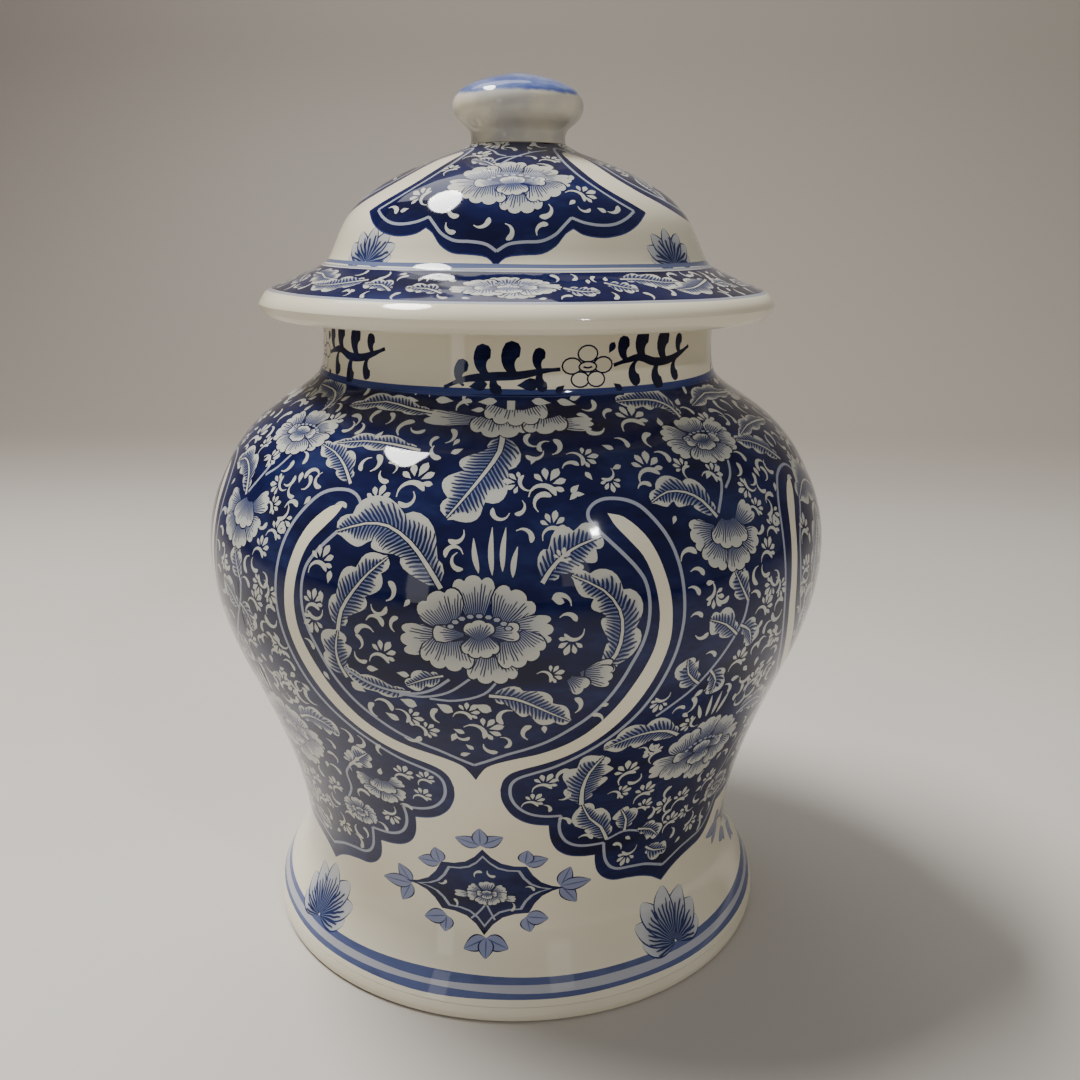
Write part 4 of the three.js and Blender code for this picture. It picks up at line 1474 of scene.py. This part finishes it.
# ------------------------------------------------------------- table and light
def make_stage():
    """A plain pale table that sweeps up into a wall, as one quarter-round strip: flat, then
    a quarter circle, then upright.  Painted shade darkens it behind the jar, more to the left, and in
    front of it."""
    reach, front, back, radius, height = 4.0, -4.0, 0.9, 0.5, 2.4
    arc = np.linspace(0, np.pi / 2, 25)
    y = np.concatenate([[front], back + radius * np.sin(arc), [back + radius]])
    z = np.concatenate([[0.0], radius * (1 - np.cos(arc)), [height]])
    x = np.array([-reach, reach])
    points = np.array([[px, py, pz] for py, pz in zip(y, z) for px in x])
    faces = [(2 * k, 2 * k + 1, 2 * k + 3, 2 * k + 2) for k in range(len(y) - 1)]
    mesh = bpy.data.meshes.new("table_sweep")
    mesh.from_pydata(points.tolist(), [], faces)
    mesh.polygons.foreach_set("use_smooth", np.ones(len(faces), bool))
    material = bpy.data.materials.new("pale_table")
    material.use_nodes = True
    n = Nodes(material.node_tree)
    point = n.add("ShaderNodeTexCoord").outputs["Object"]
    part = n.add("ShaderNodeSeparateXYZ")
    n.feed(part.inputs[0], point)
    tone = n.mix(n.ramp(n.noise(point, 3.0, 2.0), 0.3, 0.7), rgba(TABLE), rgba(TABLE_SHADE))
    # painted shade: the far table and the wall behind the jar darkened, more to the left
    painted_far_shade = n.mix(n.ramp(part.outputs[0], -0.9, 0.9), rgba(PAINTED_SHADE_FAR_LEFT),
                     rgba(PAINTED_SHADE_FAR_RIGHT))
    far = n.math("MAXIMUM", n.ramp(part.outputs[1], 0.05, 0.9), n.ramp(part.outputs[2], 0.0, 0.5))
    tone = n.mix(far, tone, painted_far_shade)
    # painted shade: the table darkened close to the viewer
    near = n.math("SUBTRACT", 1.0, n.ramp(part.outputs[1], -1.3, -0.45))
    tone = n.mix(near, tone, rgba(PAINTED_SHADE_NEAR))
    shader = material.node_tree.nodes["Principled BSDF"]
    n.feed(shader.inputs["Base Color"], tone)
    shader.inputs["Roughness"].default_value = 0.6
    mesh.materials.append(material)
    sweep = bpy.data.objects.new("table_sweep", mesh)
    bpy.context.scene.collection.objects.link(sweep)


WARM_WHITE = (1.0, 0.985, 0.96)
PANE_WHITE = (1.0, 0.98, 0.95)
ROOM_COLOUR = (0.80, 0.78, 0.75, 1)
ROOM_STRENGTH = 0.285


def lamp(name, place, target, size, power, colour=(1, 1, 1), shape="RECTANGLE"):
    """A soft flat light, size (width, height) in metres, facing its target."""
    light = bpy.data.lights.new(name, "AREA")
    light.shape = shape
    light.size, light.size_y = size
    light.energy = power
    light.color = colour
    holder = bpy.data.objects.new(name, light)
    heading = Vector(target) - Vector(place)
    facing = heading.to_track_quat("-Z", "Y").to_matrix().to_4x4()
    holder.matrix_world = Matrix.Translation(place) @ facing
    bpy.context.scene.collection.objects.link(holder)


def make_lights():
    """A window overhead, a wide soft light behind, a small lamp and two dim panes in front,
    in a dim warm room."""
    lamp("ceiling_window", (-0.55, 0.19, 1.36), (0, 0, 0.15), (0.66, 0.28), 29,
         WARM_WHITE, "ELLIPSE")
    lamp("back_ceiling", (-0.5, 1.1, 1.9), (0, 0.1, 0.1), (1.4, 0.8), 9, WARM_WHITE)
    lamp("small_lamp", (0.588, -0.965, 0.94), (0.02, -0.09, 0.16), (0.055, 0.045), 2.4)
    lamp("left_pane", (-0.80, -1.30, 0.30), (0, 0, 0.15), (0.20, 0.7), 0.9, PANE_WHITE)
    lamp("right_pane", (0.50, -1.35, 0.55), (0, 0, 0.12), (0.26, 0.4), 0.35, PANE_WHITE)
    world = bpy.data.worlds.new("room")
    world.use_nodes = True
    background = world.node_tree.nodes["Background"]
    background.inputs["Color"].default_value = ROOM_COLOUR
    background.inputs["Strength"].default_value = ROOM_STRENGTH
    bpy.context.scene.world = world


# ---------------------------------------------------------------------- camera
CAMERA_PLACE = (7.8 * MM, -365.0 * MM, 234.5 * MM)
CAMERA_PITCH = 16.09  # degrees down from level
CAMERA_ROLL = 0.40
FIELD_OF_VIEW = 53.13  # degrees across the frame


def make_camera():
    lens = bpy.data.cameras.new("camera")
    lens.sensor_width = 36.0
    lens.angle = FIELD_OF_VIEW * RAD
    lens.clip_start = 0.01
    camera = bpy.data.objects.new("camera", lens)
    pitch = Matrix.Rotation((90 - CAMERA_PITCH) * RAD, 4, "X")
    roll = Matrix.Rotation(CAMERA_ROLL * RAD, 4, "Z")
    camera.matrix_world = Matrix.Translation(CAMERA_PLACE) @ (pitch @ roll)
    bpy.context.scene.collection.objects.link(camera)
    bpy.context.scene.camera = camera


make_stage()
make_lights()
make_camera()
